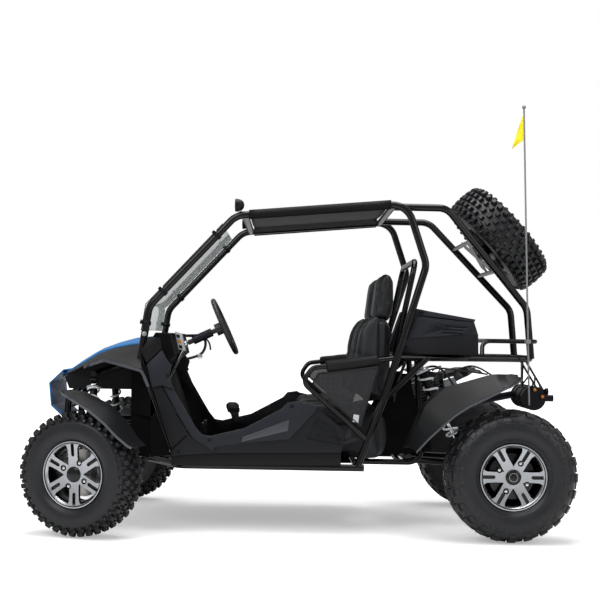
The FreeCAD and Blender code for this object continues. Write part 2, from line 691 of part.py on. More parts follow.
def side_panel():
    """Left sill panel with its louvred recess, on two lugs over the rail."""
    front_z = RAIL_Z + 142
    outline = [
        (X_FRONT - 480, front_z + 8), (X_FRONT - 510, front_z), (X_FRONT - 637, front_z + 28),
        (X_FRONT - 842, front_z + 138), (X_REAR + 868, front_z + 138), (X_REAR + 795, front_z + 114),
        (X_REAR + 687, front_z + 18), (X_REAR + 703, RAIL_Z + 66), (X_FRONT - 380, RAIL_Z + 66),
    ]
    inside = SIDE_PANEL_HALF - SIDE_PANEL_THICKNESS
    plate = side_plate(outline, inside, SIDE_PANEL_HALF)
    recess = [(X_REAR + 845, RAIL_Z + 212), (X_REAR + 722, RAIL_Z + 122), (X_REAR + 845, RAIL_Z + 130)]
    well = side_plate(recess, SIDE_PANEL_HALF - 8, SIDE_PANEL_HALF + 5)
    slats = []
    for x in (X_REAR + 762, X_REAR + 790, X_REAR + 818):
        strip = [(x, RAIL_Z + 100), (x + 7, RAIL_Z + 100), (x + 25, RAIL_Z + 230), (x + 18, RAIL_Z + 230)]
        slats.append(side_plate(strip, SIDE_PANEL_HALF - 9, SIDE_PANEL_HALF - 2))
    plate = fuse([plate.cut(well), fuse(slats).common(side_plate(recess, inside + 1, SIDE_PANEL_HALF))])
    lugs = []
    for x in (X_REAR + 740, X_FRONT - 470):
        low = FreeCAD.Vector(x, RAIL_HALF - 8, RAIL_Z + FRAME_TUBE + SEAT_GAP)
        lugs.append(Part.makeBox(40, inside - RAIL_HALF + 8, 90, low))
    return fuse([plate] + lugs)


def leg_panel():
    """Left leg panel beside the toe board, under the pillar's foot."""
    outline = [
        (X_FRONT - 212, COWL_BAR_Z - 24), (X_FRONT - 239, COWL_BAR_Z - 16), (X_FRONT - 298, COWL_BAR_Z + 46),
        (X_FRONT - 338, COWL_BAR_Z - 31), (X_FRONT - 479, RAIL_Z + 150), (X_FRONT - 379, RAIL_Z + 46),
        (X_FRONT - 360, RAIL_Z + 46),
    ]
    low = RAIL_HALF + FRAME_TUBE + SEAT_GAP
    return side_plate(outline, low, low + SIDE_PANEL_THICKNESS - 1)


def hood_half(station):
    """Half the hood's width at a station from the front axle."""
    share = (HOOD_FRONT - station) / (HOOD_FRONT - HOOD_REAR)
    return HOOD_HALF_FRONT + (HOOD_HALF_REAR - HOOD_HALF_FRONT) * share


def hood():
    line = [(X_FRONT + 168, 694), (X_FRONT + 60, 742), (X_FRONT - 40, 786), (X_FRONT - 215, 836)]
    sheet = bent_sheet(line[::-1], PANEL, -HOOD_HALF_REAR, HOOD_HALF_REAR)
    plan = [
        (X_FRONT + HOOD_FRONT, -HOOD_HALF_FRONT), (X_FRONT + HOOD_FRONT, HOOD_HALF_FRONT),
        (X_FRONT + HOOD_REAR, HOOD_HALF_REAR), (X_FRONT + HOOD_REAR, -HOOD_HALF_REAR),
    ]
    return sheet.common(plan_prism(plan, 600, 900))


def nose_panel():
    """The front face below the lamps, with its lip turned under."""
    line = [(X_FRONT + 172, 684), (X_FRONT + 236, 622), (X_FRONT + 226, 520), (X_FRONT + 172, 470)]
    face = bent_sheet(line, PANEL, -HOOD_HALF_FRONT - 60, HOOD_HALF_FRONT + 60)
    return face


def shoulder():
    """Left shoulder shell: from the hood's edge out and down to the wheel arch."""
    inner = [
        at_front(160, hood_half(160) + SEAT_GAP, 692),
        at_front(-40, hood_half(-40) + SEAT_GAP, 784),
        at_front(-215, hood_half(-215) + SEAT_GAP, 830),
    ]
    outer = [
        at_front(150, HOOD_HALF_FRONT + 85, 664), at_front(-32, 345, 738), at_front(-205, 470, COWL_BAR_Z + 22),
    ]
    upper = Part.BSplineCurve()
    upper.interpolate(inner)
    lower = Part.BSplineCurve()
    lower.interpolate(outer)
    face = Part.makeRuledSurface(upper.toShape(), lower.toShape())
    return face.extrude(FreeCAD.Vector(0, 0, -PANEL))


def head_lamp():
    """Left head lamp, wedge shaped, under the shoulder's front."""
    outline = [
        (X_FRONT + 84, 680), (X_FRONT + 150, 654), (X_FRONT + 172, 626), (X_FRONT + 84, 626),
    ]
    return side_plate(outline, 108, HOOD_HALF_FRONT + 65)


def roof_lamp():
    """Left roof lamp on its post above the pillar's bend."""
    centre = at_front(-613, CAGE_HALF - 4, ROOF_FRONT_Z + CAGE_TUBE + LAMP_RADIUS + 6)
    ball = Part.makeSphere(LAMP_RADIUS, centre)
    front = Part.makeBox(80, 120, 120, centre + FreeCAD.Vector(10, -60, -60))
    dome = ball.cut(front)
    stem = Part.makeCylinder(7, 30, centre - Z_AXIS * (LAMP_RADIUS + 24) - X_AXIS * 6, Z_AXIS)
    return fuse([dome, stem])


def tail_lamp():
    """Left amber indicator on its bar from the tail's cross tube."""
    face = at_rear(-238, INDICATOR_Y, 612)
    bar = tube([at_rear(-150, INDICATOR_Y, UPPER_RAIL_Z), face - X_AXIS * 3], 5)
    return fuse([bar, Part.makeCylinder(INDICATOR_RADIUS, 22, face - X_AXIS * 22, X_AXIS)])


def windscreen():
    """Clear sheet on the front of the pillars, bent at their knee."""
    lift = CAGE_TUBE + SEAT_GAP
    low = PILLAR_FOOT + (PILLAR_KNEE - PILLAR_FOOT) * 0.53
    high = PILLAR_KNEE + (ROOF_FRONT - PILLAR_KNEE) * 0.88
    line = [(point.x, point.z) for point in (high, PILLAR_KNEE, low)]
    sheet = bent_sheet(line, -lift - GLASS, -CAGE_HALF + 2, CAGE_HALF - 2)
    return sheet.cut(bent_sheet(line, -lift, -CAGE_HALF, CAGE_HALF))


def roof_canopy():
    """Soft roof stretched between two sleeves round the roof tubes."""
    start = ROOF_FRONT + FreeCAD.Vector(-56, 0, 3.3)
    end = ROOF_REAR + FreeCAD.Vector(70, 0, -6)
    run = end - start
    outer = CAGE_TUBE + 9
    sleeve = Part.makeCylinder(outer, run.Length, start, run)
    sheet_low = CAGE_TUBE + SEAT_GAP + 2
    width = FreeCAD.Vector(0, -2 * CAGE_HALF, 0)
    edge = [start + Z_AXIS * sheet_low, end + Z_AXIS * sheet_low, end + Z_AXIS * outer, start + Z_AXIS * outer]
    sheet = polygon_prism(edge, width)
    return fuse([sleeve, mirror(sleeve), sheet])


def seat(side):
    """Bucket seat with its high back, side bolsters and head rest, on the floor."""
    base = FLOOR_Z + FLOOR_THICKNESS + SEAT_GAP
    outline = [
        (X_REAR + SEAT_REAR + 4, base), (X_REAR + SEAT_FRONT - 30, base),
        (X_REAR + SEAT_FRONT, CUSHION_Z - 60), (X_REAR + SEAT_FRONT - 15, CUSHION_Z - 5),
        (X_REAR + 690, CUSHION_Z - 40), (X_REAR + 655, CUSHION_Z + 40), (X_REAR + 636, 880),
        (X_REAR + 600, 932), (X_REAR + 562, 960), (X_REAR + SEAT_REAR, 960), (X_REAR + SEAT_REAR, 900),
    ]
    low = SEAT_Y - SEAT_WIDTH / 2
    body = side_plate(outline, low, low + SEAT_WIDTH)
    bolster = [
        (X_REAR + SEAT_FRONT - 60, CUSHION_Z - 60), (X_REAR + SEAT_FRONT - 70, CUSHION_Z + 22),
        (X_REAR + 760, CUSHION_Z + 20), (X_REAR + 705, CUSHION_Z + 60), (X_REAR + 688, 800),
        (X_REAR + 655, 872), (X_REAR + 600, 900), (X_REAR + 600, CUSHION_Z - 60),
    ]
    head = [
        (X_REAR + SEAT_REAR, 955), (X_REAR + 565, 955), (X_REAR + 546, 1030), (X_REAR + 533, 1130),
        (X_REAR + 520, 1144), (X_REAR + SEAT_REAR - 8, 1144), (X_REAR + SEAT_REAR - 10, 1000),
    ]
    head_low = SEAT_Y - HEADREST_WIDTH / 2
    whole = fuse([
        body, side_plate(bolster, low, low + BOLSTER), side_plate(bolster, low + SEAT_WIDTH - BOLSTER, low + SEAT_WIDTH),
        side_plate(head, head_low, head_low + HEADREST_WIDTH),
    ])
    return whole if side > 0 else mirror(whole)


GUARD_HALF = RAIL_HALF + 10


def guard_points():
    return [
        at_rear(597, 476, 408), at_rear(880, GUARD_HALF, 655),
        at_rear(838, GUARD_HALF, 716), at_rear(478, CAGE_HALF + 4, 762),
    ]


def arm_guard(pockets):
    """Left guard tube beside the seat."""
    return coped(tube(guard_points(), GUARD_TUBE, 40), pockets)


def arm_pad():
    """Padded sleeve round the guard's upper run."""
    start, end = guard_points()[2:]
    run = end - start
    unit = FreeCAD.Vector(run).normalize()
    first = start + unit * 60
    length = run.Length * 0.62
    pad = Part.makeCylinder(PAD_RADIUS, length, first, run)
    return pad.cut(Part.makeCylinder(GUARD_TUBE + SEAT_GAP, length + 20, first - unit * 10, run))


def side_net():
    """Mesh triangle inside the guard tube, its upper edge under the pad."""
    outline = [(X_REAR + 835, 648), (X_REAR + 812, 699), (X_REAR + 560, 727), (X_REAR + 628, 470)]
    mesh = side_plate(outline, GUARD_HALF - 8, GUARD_HALF - 6)
    start, end = guard_points()[2:]
    return largest(mesh.cut(Part.makeCylinder(PAD_RADIUS + SEAT_GAP, (end - start).Length, start, end - start)))


def rear_cover():
    """Left cover above the rear rail, inside the hoop."""
    outer = CAGE_HALF - CAGE_TUBE - SEAT_GAP
    base = UPPER_RAIL_Z + FRAME_TUBE + SEAT_GAP
    outline = [
        (X_REAR + 455, base), (X_REAR + 388, 978), (X_REAR + 137, 932), (X_REAR + 116, 868), (X_REAR + 116, base),
    ]
    body = side_plate(outline, outer - 112, outer)
    bevel = plan_prism([
        (X_REAR + 100, outer + 1), (X_REAR + 300, outer + 1), (X_REAR + 100, outer - 40),
    ], base - 1, 1000)
    vents = []
    for step in range(3):
        x = X_REAR + 245 + 17 * step
        z = 905 - 13 * step
        vent = [(x, z), (x - 80, z - 4), (x - 95, z - 11), (x - 10, z - 6)]
        vents.append(side_plate(vent, outer - 24, outer + 1))
    return body.cut(bevel).cut(fuse(vents))


def rear_mudguard():
    """Left rear mudguard with the two stays that carry it."""
    inner_radius = REAR_TYRE_RADIUS + 152
    outer_radius = REAR_TYRE_RADIUS + 72
    inner_y = REAR_TRACK / 2 - 135
    outer_y = REAR_TRACK / 2 + 112
    band = revolved([
        (inner_radius, inner_y), (inner_radius + GUARD_THICKNESS, inner_y),
        (outer_radius + GUARD_THICKNESS, outer_y), (outer_radius, outer_y),
    ], 82.0)
    band.rotate(FreeCAD.Vector(0, 0, 0), Y_AXIS, -14.0)
    band.translate(at_rear(0, 0, REAR_TYRE_RADIUS))
    return band


def rear_stays(pockets, band):
    top = tube([at_rear(100, REAR_TRACK / 2 - 115, 690), at_rear(100, 285, UPPER_RAIL_Z)], 8)
    low = tube([at_rear(408, REAR_TRACK / 2 - 115, 405), at_rear(585, 472, 440)], 8)
    return fuse([band, coped(top, pockets), coped(low, pockets)])


def engine():
    """Closed engine: crankcase, finned barrel and head as one mass."""
    base = FLOOR_Z + 26
    case = side_plate([
        (X_REAR + 165, base + 40), (X_REAR + 205, base), (X_REAR + 430, base), (X_REAR + 455, base + 60),
        (X_REAR + 430, 520), (X_REAR + 360, 560), (X_REAR + 220, 560), (X_REAR + 165, 500),
    ], -105, 105)
    barrel_axis = FreeCAD.Vector(-0.12, 0, 1)
    barrel = Part.makeCylinder(56, 120, at_rear(290, 0, 550), barrel_axis)
    head = Part.makeCylinder(64, 34, at_rear(282, 0, 662), barrel_axis)
    side_case = Part.makeCylinder(88, 22, at_rear(350, 105, 445), Y_AXIS)
    foot_low = RAIL_Z + ENGINE_BAR_RISE + FRAME_TUBE - CROSS_STEP + SEAT_GAP
    foot = Part.makeBox(22, 150, base + 60 - foot_low, FreeCAD.Vector(X_REAR + ENGINE_CROSS - 11, -75, foot_low))
    fins = []
    for rise in FIN_RISES:
        fins.append(Part.makeCylinder(72, 4, at_rear(290, 0, 550) + FreeCAD.Vector(-0.12, 0, 1) * rise, barrel_axis))
    port = Part.makeBox(60, 60, 60, at_rear(177, -60, 595))
    return fuse([case, barrel, head, side_case, foot] + [fin.cut(port) for fin in fins])


def muffler():
    """Silencer across the tail, with its hanger, tail pipe and pipe from the engine."""
    centre = at_rear(-178, 0, 585)
    body = Part.makeCylinder(MUFFLER_RADIUS, 300, centre - Y_AXIS * 150, Y_AXIS)
    hanger_top = UPPER_RAIL_Z - FRAME_TUBE - SEAT_GAP
    hanger = Part.makeBox(6, 40, hanger_top - 600, FreeCAD.Vector(X_REAR - 153, -20, 600))
    pipe = tube([
        centre + FreeCAD.Vector(30, -110, 10), at_rear(20, -110, 560), at_rear(120, -60, 600),
        at_rear(217, -30, 625),
    ], 17, 70)
    mouth = centre + FreeCAD.Vector(-95, 110, 0)
    tail = Part.makeCylinder(TAIL_PIPE, 65, mouth, X_AXIS)
    outlet = Part.makeCylinder(TAIL_PIPE - 3, OUTLET_DEPTH, mouth, X_AXIS)
    caps = [
        Part.makeCylinder(MUFFLER_RADIUS + 3, 12, FreeCAD.Vector(centre.x, y, centre.z), Y_AXIS)
        for y in (-150, -60, 60, 138)
    ]
    return fuse([body, hanger, pipe, tail] + caps).cut(outlet)


TAIL_TOP = at_rear(495, TAIL_HALF_TOP, 1423.3)
TAIL_KNEE = at_rear(257, TAIL_HALF_TOP, 1422)
TAIL_WAIST = at_rear(-128, TAIL_HALF_LOW, 991)
TAIL_FOOT = at_rear(-150, TAIL_HALF_LOW, UPPER_RAIL_Z)


def tail_point(share):
    return TAIL_KNEE + (TAIL_WAIST - TAIL_KNEE) * share


def tail_frame(pockets):
    """Tail tubes, the spare wheel's cross bars and the luggage rack, as one welding."""
    side = tube([TAIL_TOP, TAIL_KNEE, TAIL_WAIST, TAIL_FOOT], CAGE_TUBE, 80)
    parts = [side, mirror(side)]
    along = (TAIL_WAIST - TAIL_KNEE).Length
    for side in (-1, 1):
        point = tail_point(SPARE_SHARE + side * SPARE_BAR_HALF / along)
        parts.append(tube([point, mirrored(point)], SPARE_BAR))
    loop = [at_rear(80, 277, UPPER_RAIL_Z), at_rear(72, RACK_HALF, RACK_Z), at_rear(-172, RACK_HALF, RACK_Z)]
    loop += [mirrored(point) for point in loop[::-1]]
    parts.append(tube(loop, RACK_TUBE, 40))
    for x in (56, -6, -68, -126):
        parts.append(tube([at_rear(x, RACK_HALF, RACK_Z), at_rear(x, -RACK_HALF, RACK_Z)], RACK_TUBE * 0.7))
    return fuse([coped(piece, pockets) for piece in parts])


def spare_placement():
    """Turns a wheel modelled on Y so that its face looks up and back over the tail."""
    run = TAIL_WAIST - TAIL_KNEE
    outward = FreeCAD.Vector(run.z, 0, -run.x).normalize()
    seat_point = tail_point(SPARE_SHARE)
    seat_point.y = 0
    return FreeCAD.Placement(seat_point + outward * SPARE_STANDOFF, FreeCAD.Rotation(Y_AXIS, outward))


def spare(shape):
    moved = shape.copy()
    moved.Placement = spare_placement()
    return moved


def spare_carrier():
    """Post from the cross bars to the spare's hub."""
    back = FRONT_FACE - SPOKE_DEPTH - SEAT_GAP
    reach = SPARE_STANDOFF - SPARE_BAR - SEAT_GAP
    post = Part.makeCylinder(26, reach + back, FreeCAD.Vector(0, -reach, 0), Y_AXIS)
    plates = [
        Part.makeBox(220, 6, 50, FreeCAD.Vector(-110, -reach, -25)),
        Part.makeBox(50, 6, 220, FreeCAD.Vector(-25, -reach, -110)),
    ]
    return spare(fuse([post] + plates))


def flag_pole():
    """Whip pole with its foot clamped beside the rack."""
    foot = at_rear(-133, POLE_Y, 560)
    top = at_rear(-88, POLE_Y, POLE_TOP)
    pole = Part.makeCylinder(POLE_RADIUS, (top - foot).Length, foot, top - foot)
    return fuse([pole, Part.makeSphere(9, top)])


def pole_clamp():
    start = RACK_HALF + RACK_TUBE + SEAT_GAP
    low = FreeCAD.Vector(X_REAR - 134, start, RACK_Z - 9)
    return Part.makeBox(20, POLE_Y - start + 8, 18, low)


def flag():
    """Limp pennant beside the pole."""
    foot = at_rear(-133, POLE_Y, 560)
    top = at_rear(-88, POLE_Y, POLE_TOP)
    unit = FreeCAD.Vector(top - foot).normalize()
    hoist_top = top - unit * 28 + X_AXIS * (POLE_RADIUS + SEAT_GAP)
    hoist_low = top - unit * 146 + X_AXIS * (POLE_RADIUS + SEAT_GAP)
    tip = hoist_low - unit * (FLAG_DROP - 118) + X_AXIS * FLAG_REACH
    points = [hoist_top, hoist_low, tip]
    return polygon_prism([p - Y_AXIS * FLAG_THICKNESS / 2 for p in points], Y_AXIS * FLAG_THICKNESS)


def dash_face(height):
    """Station of the dash's rear face at a height."""
    return X_FRONT - 345 + (height - COWL_BAR_Z - 20) * 0.25


def dashboard():
    """Black dash block under the windscreen's foot."""
    top = COWL_BAR_Z + 112
    low = COWL_BAR_Z + 20
    outline = [
        (X_FRONT - 225, COWL_BAR_Z + 60), (X_FRONT - 262, top + 4), (dash_face(top), top),
        (dash_face(low), low), (X_FRONT - 300, COWL_BAR_Z - 16), (X_FRONT - 208, COWL_BAR_Z - 6),
    ]
    block = side_plate(outline, -CAGE_HALF + CAGE_TUBE + 6, CAGE_HALF - CAGE_TUBE - 6)
    direction = PINION - COLUMN_END
    return block.cut(Part.makeCylinder(9 + MOVING_GAP, direction.Length, COLUMN_END, direction))


def controls():
    """Two pedals on the toe board's foot and the selector lever on the floor."""
    floor = FLOOR_Z + FLOOR_THICKNESS + SEAT_GAP
    parts = []
    for y in (150.0, 320.0):
        post = Part.makeBox(12, 12, 110, FreeCAD.Vector(X_FRONT - 462, y - 6, floor))
        pad = Part.makeBox(10, 70, 62, FreeCAD.Vector(X_FRONT - 472, y - 35, floor + 90))
        parts.append(fuse([post, pad]))
    lever = tube([at_front(-600, 0, floor), at_front(-600, 0, floor + 130), at_front(-580, 0, floor + 190)], 8, 40)
    knob = Part.makeBox(56, 34, 18, FreeCAD.Vector(X_FRONT - 616, -17, floor + 182))
    parts.append(fuse([lever, knob]))
    return Part.makeCompound(parts)


def save(name, shape):
    shape.exportStep(os.path.join("parts", name + ".step"))


def build():
    os.makedirs("parts", exist_ok=True)
    nodes = {}
    lower_pocket = frame_tubes(FRAME_TUBE + SEAT_GAP)
    cage_pocket = cage_tubes(CAGE_TUBE + SEAT_GAP)
    pockets = lower_pocket + upper_tubes(FRAME_TUBE + SEAT_GAP) + cage_pocket
    fitted = [coped(piece, cage_pocket) for piece in upper_tubes(FRAME_TUBE)]
    frame = fuse(frame_tubes(FRAME_TUBE) + fitted)
    cage = coped(fuse(cage_tubes(CAGE_TUBE)), lower_pocket)
    jacket, case = steering_housing()
    shaft_axis = PINION - COLUMN_END
    shaft_end = Part.makeCylinder(9 + RUNNING_GAP, shaft_axis.Length, COLUMN_END, shaft_axis)
    pinion_box = Part.makeCylinder(22, 40, PINION - FreeCAD.Vector(shaft_axis).normalize() * 20, shaft_axis)
    bar_bore = Part.makeCylinder(RACK_RADIUS + RUNNING_GAP, 400, at_front(RACK_X, -200, RACK_Z_LEVEL), Y_AXIS)
    rack_case = fuse([case, pinion_box]).cut(bar_bore).cut(shaft_end)
    bracket = side_plate([
        (X_FRONT - 478, COWL_BAR_Z + 114), (X_FRONT - 442, COWL_BAR_Z + 97),
        (dash_face(COWL_BAR_Z + 98) - SEAT_GAP, COWL_BAR_Z + 98),
        (dash_face(COWL_BAR_Z + 108) - SEAT_GAP, COWL_BAR_Z + 108),
    ], DRIVER_Y - 8, DRIVER_Y + 8)
    jacket = fuse([jacket, bracket])
    jacket = jacket.cut(Part.makeCylinder(COLUMN_RADIUS + RUNNING_GAP, 260, WHEEL_CENTRE, COLUMN_AXIS))
    nodes["chassis_frame"] = frame
    nodes["roll_cage"] = cage
    nodes["swing_arm"] = swing_arm()
    nodes["front_wishbones"] = Part.makeCompound(front_arms(1) + front_arms(-1))
    front_shock = shock(FRONT_SHOCK_TOP, FRONT_SHOCK_FOOT, 30, X_AXIS, 34)
    rear_top = at_rear(REAR_SHOCK_TOP, REAR_SHOCK_Y, UPPER_RAIL_Z - FRAME_TUBE - SHOCK_EYE - SEAT_GAP)
    rear_foot = at_rear(REAR_SHOCK_FOOT, REAR_SHOCK_Y, REAR_SHOCK_FOOT_Z)
    rear_shock = shock(rear_top, rear_foot, 34, Y_AXIS, 2 * REAR_SHOCK_HALF)
    front_coil = coil(FRONT_SHOCK_TOP, FRONT_SHOCK_FOOT, 30)
    rear_coil = coil(rear_top, rear_foot, 34)
    shocks = [pair(front_shock), pair(front_coil), pair(rear_shock), pair(rear_coil)]
    nodes["shock_absorbers"] = Part.makeCompound(shocks)
    nodes["floor_pan"] = coped(floor_pan(), pockets)
    nodes["side_panels"] = Part.makeCompound([pair(coped(side_panel(), pockets)), pair(coped(leg_panel(), pockets))])
    nodes["hood"] = coped(hood(), pockets)
    nodes["nose_panel"] = coped(nose_panel(), pockets)
    nodes["shoulder_shells"] = pair(coped(shoulder(), pockets))
    lamps = [pair(coped(lamp, pockets)) for lamp in (head_lamp(), roof_lamp(), tail_lamp())]
    nodes["lamps"] = Part.makeCompound(lamps)
    nodes["dashboard"] = coped(dashboard(), pockets)
    nodes["windscreen"] = coped(windscreen(), pockets)
    nodes["roof_canopy"] = coped(roof_canopy(), pockets)
    nodes["seat_left"] = coped(seat(1), pockets)
    nodes["seat_right"] = coped(seat(-1), pockets)
    nodes["arm_guards"] = pair(arm_guard(pockets))
    nodes["arm_pads"] = pair(arm_pad())
    nodes["side_nets"] = pair(side_net())
    nodes["rear_covers"] = pair(coped(rear_cover(), pockets))
    nodes["rear_mudguards"] = pair(rear_stays(pockets, rear_mudguard()))
    nodes["engine"] = engine()
    nodes["muffler"] = muffler()
    nodes["tail_frame"] = tail_frame(pockets)
    nodes["flag_pole"] = fuse([flag_pole(), pole_clamp()])
    nodes["flag"] = flag()
    nodes["controls"] = controls()
    nodes["steering_housing"] = Part.makeCompound([jacket, coped(rack_case, lower_pocket)])
    nodes["steering_wheel"] = steering_wheel()
    nodes["steering_shaft"] = steering_shaft()
    nodes["steering_rack"] = steering_rack()
    nodes["steering_knuckle_left"] = steered(knuckle(), 1)
    nodes["steering_knuckle_right"] = steered(knuckle(), -1)
    hub_shift = FreeCAD.Vector(0, KINGPIN_INSET, 0)
    front_tyre = tyre(FRONT_TYRE_RADIUS, FRONT_TYRE_WIDTH, FRONT_RIM_WIDTH, 24, FRONT_LUGS, FRONT_LUG_DEPTH)
    front_rim = rim(FRONT_RIM_WIDTH, FRONT_FACE)
    bore = Part.makeCylinder(HUB_BORE, 300, FreeCAD.Vector(0, -100, 0), Y_AXIS)
    hub_start = DISC_Y - 6
    hub = Part.makeCylinder(30, KINGPIN_INSET + FRONT_FACE - SPOKE_DEPTH - hub_start + 1,
                            FreeCAD.Vector(0, hub_start, 0), Y_AXIS)
    disc = Part.makeCylinder(DISC_RADIUS, DISC_THICKNESS, FreeCAD.Vector(0, DISC_Y, 0), Y_AXIS)
    wheel = fuse([placed(front_rim, hub_shift), hub, disc]).cut(bore)
    guard = front_mudguard()
    for side, name in ((1, "left"), (-1, "right")):
        nodes["front_tyre_" + name] = steered(placed(front_tyre, hub_shift), side)
        nodes["front_rim_" + name] = steered(wheel, side)
        nodes["front_mudguard_" + name] = steered(guard, side)
    axle = rear_axle()
    rear_rim = rim(REAR_RIM_WIDTH, REAR_FACE)
    rear_tyre = tyre(REAR_TYRE_RADIUS, REAR_TYRE_WIDTH, REAR_RIM_WIDTH, 34, REAR_LUGS, REAR_LUG_DEPTH)
    rear_seat = at_rear(0, REAR_TRACK / 2, REAR_TYRE_RADIUS)
    axle_bore = Part.makeCylinder(AXLE_RADIUS + RUNNING_GAP, 2000, at_rear(0, -1000, REAR_TYRE_RADIUS), Y_AXIS)
    nodes["rear_axle"] = axle
    nodes["rear_rims"] = pair(placed(rear_rim, rear_seat).cut(axle_bore))
    nodes["rear_tyres"] = pair(placed(rear_tyre, rear_seat))
    nodes["spare_rim"] = spare(front_rim)
    nodes["spare_mount"] = spare_carrier()
    nodes["spare_tyre"] = spare(front_tyre)
    for name, shape in nodes.items():
        save(name, shape)


build()
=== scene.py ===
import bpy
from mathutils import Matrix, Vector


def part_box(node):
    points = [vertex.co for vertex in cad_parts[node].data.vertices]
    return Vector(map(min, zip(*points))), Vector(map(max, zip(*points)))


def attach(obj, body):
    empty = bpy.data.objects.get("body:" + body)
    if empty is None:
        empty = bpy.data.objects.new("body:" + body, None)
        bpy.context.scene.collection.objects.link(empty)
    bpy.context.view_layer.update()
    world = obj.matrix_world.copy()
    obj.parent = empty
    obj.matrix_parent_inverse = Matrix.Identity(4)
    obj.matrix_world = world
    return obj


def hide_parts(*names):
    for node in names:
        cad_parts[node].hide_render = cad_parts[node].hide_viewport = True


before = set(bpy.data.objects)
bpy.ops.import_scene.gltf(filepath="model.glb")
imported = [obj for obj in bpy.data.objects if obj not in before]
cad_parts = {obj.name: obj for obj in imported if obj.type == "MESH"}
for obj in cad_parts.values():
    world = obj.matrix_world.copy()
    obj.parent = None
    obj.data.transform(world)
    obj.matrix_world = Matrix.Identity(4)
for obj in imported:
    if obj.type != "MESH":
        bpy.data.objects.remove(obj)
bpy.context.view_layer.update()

import math

import bpy
from mathutils import Matrix, Vector

bl_info = {
    "name": "Two-seat buggy dressing",
    "version": (1, 0, 0),
    "blender": (4, 5, 0),
    "location": "3D View > Sidebar > Buggy",
    "description": "Tyres, rims, seats, cloth, lamps and finishes for a tubular two-seat buggy",
    "category": "Object",
}

# Metres for places, millimetres in the size values; +X forward, +Y to the buggy's left, +Z up.
MM = 0.001
TURN = 2 * math.pi
X_REAR = -0.890
X_FRONT = 0.890
STEER = math.radians(-20.5)


def linear(code):
    """The linear colour of an sRGB hex value."""
    parts = [int(code[at:at + 2], 16) / 255 for at in (1, 3, 5)]
    return [p / 12.92 if p <= 0.04045 else ((p + 0.055) / 1.055) ** 2.4 for p in parts]


class BUGGY_PG_sizes(bpy.types.PropertyGroup):
    """Sizes that a user would change."""
    front_lugs: bpy.props.IntProperty(
        name="Front lugs", description="Lugs round each row of the front tyre", default=38, min=12, max=60)
    rear_lugs: bpy.props.IntProperty(
        name="Rear lugs", description="Blocks round each row of the rear tyre", default=24, min=12, max=48)
    spokes: bpy.props.IntProperty(name="Spokes", description="Split spokes on a rim", default=6, min=3, max=9)
    coil_turns: bpy.props.IntProperty(name="Coils", description="Turns of a spring", default=7, min=3, max=12)
    canopy_sag: bpy.props.FloatProperty(
        name="Canopy sag", description="How far the roof cloth hangs in its middle", default=0.014,
        subtype="DISTANCE", unit="LENGTH")
    pad_swell: bpy.props.FloatProperty(
        name="Pad swell", description="How far a seat's skin may swell", default=0.012,
        subtype="DISTANCE", unit="LENGTH")


class BUGGY_PG_colours(bpy.types.PropertyGroup):
    """Colours that a user would change."""
    body: bpy.props.FloatVectorProperty(
        name="Body", description="Paint of the hood and nose", subtype="COLOR", size=3,
        default=linear("#1a6aa8"), min=0.0, max=1.0)
    spring: bpy.props.FloatVectorProperty(
        name="Springs", description="Enamel of the springs", subtype="COLOR", size=3,
        default=linear("#dfe3e4"), min=0.0, max=1.0)
    flag: bpy.props.FloatVectorProperty(
        name="Flag", description="Cloth of the pennant", subtype="COLOR", size=3,
        default=linear("#f4e21c"), min=0.0, max=1.0)


# Finishes


def add_node(tree, kind, links, **settings):
    """Adds a node with its settings; a link is a socket to join or a value to set."""
    made = tree.nodes.new(kind)
    for name, value in settings.items():
        setattr(made, name, value)
    for name, value in links.items():
        if isinstance(value, bpy.types.NodeSocket):
            tree.links.new(value, made.inputs[name])
        else:
            made.inputs[name].default_value = value
    return made


def start_finish(name, colour, roughness, **inputs):
    """A material whose constants sit on the shader's own sockets."""
    material = bpy.data.materials.new(name)
    material.use_nodes = True
    tree = material.node_tree
    shader = tree.nodes["Principled BSDF"]
    rgb = linear(colour) if isinstance(colour, str) else list(colour)
    shader.inputs["Base Color"].default_value = (*rgb, 1.0)
    shader.inputs["Roughness"].default_value = roughness
    for key, value in inputs.items():
        shader.inputs[key.replace("_", " ").title().replace("Ior", "IOR")].default_value = value
    return material, tree, shader


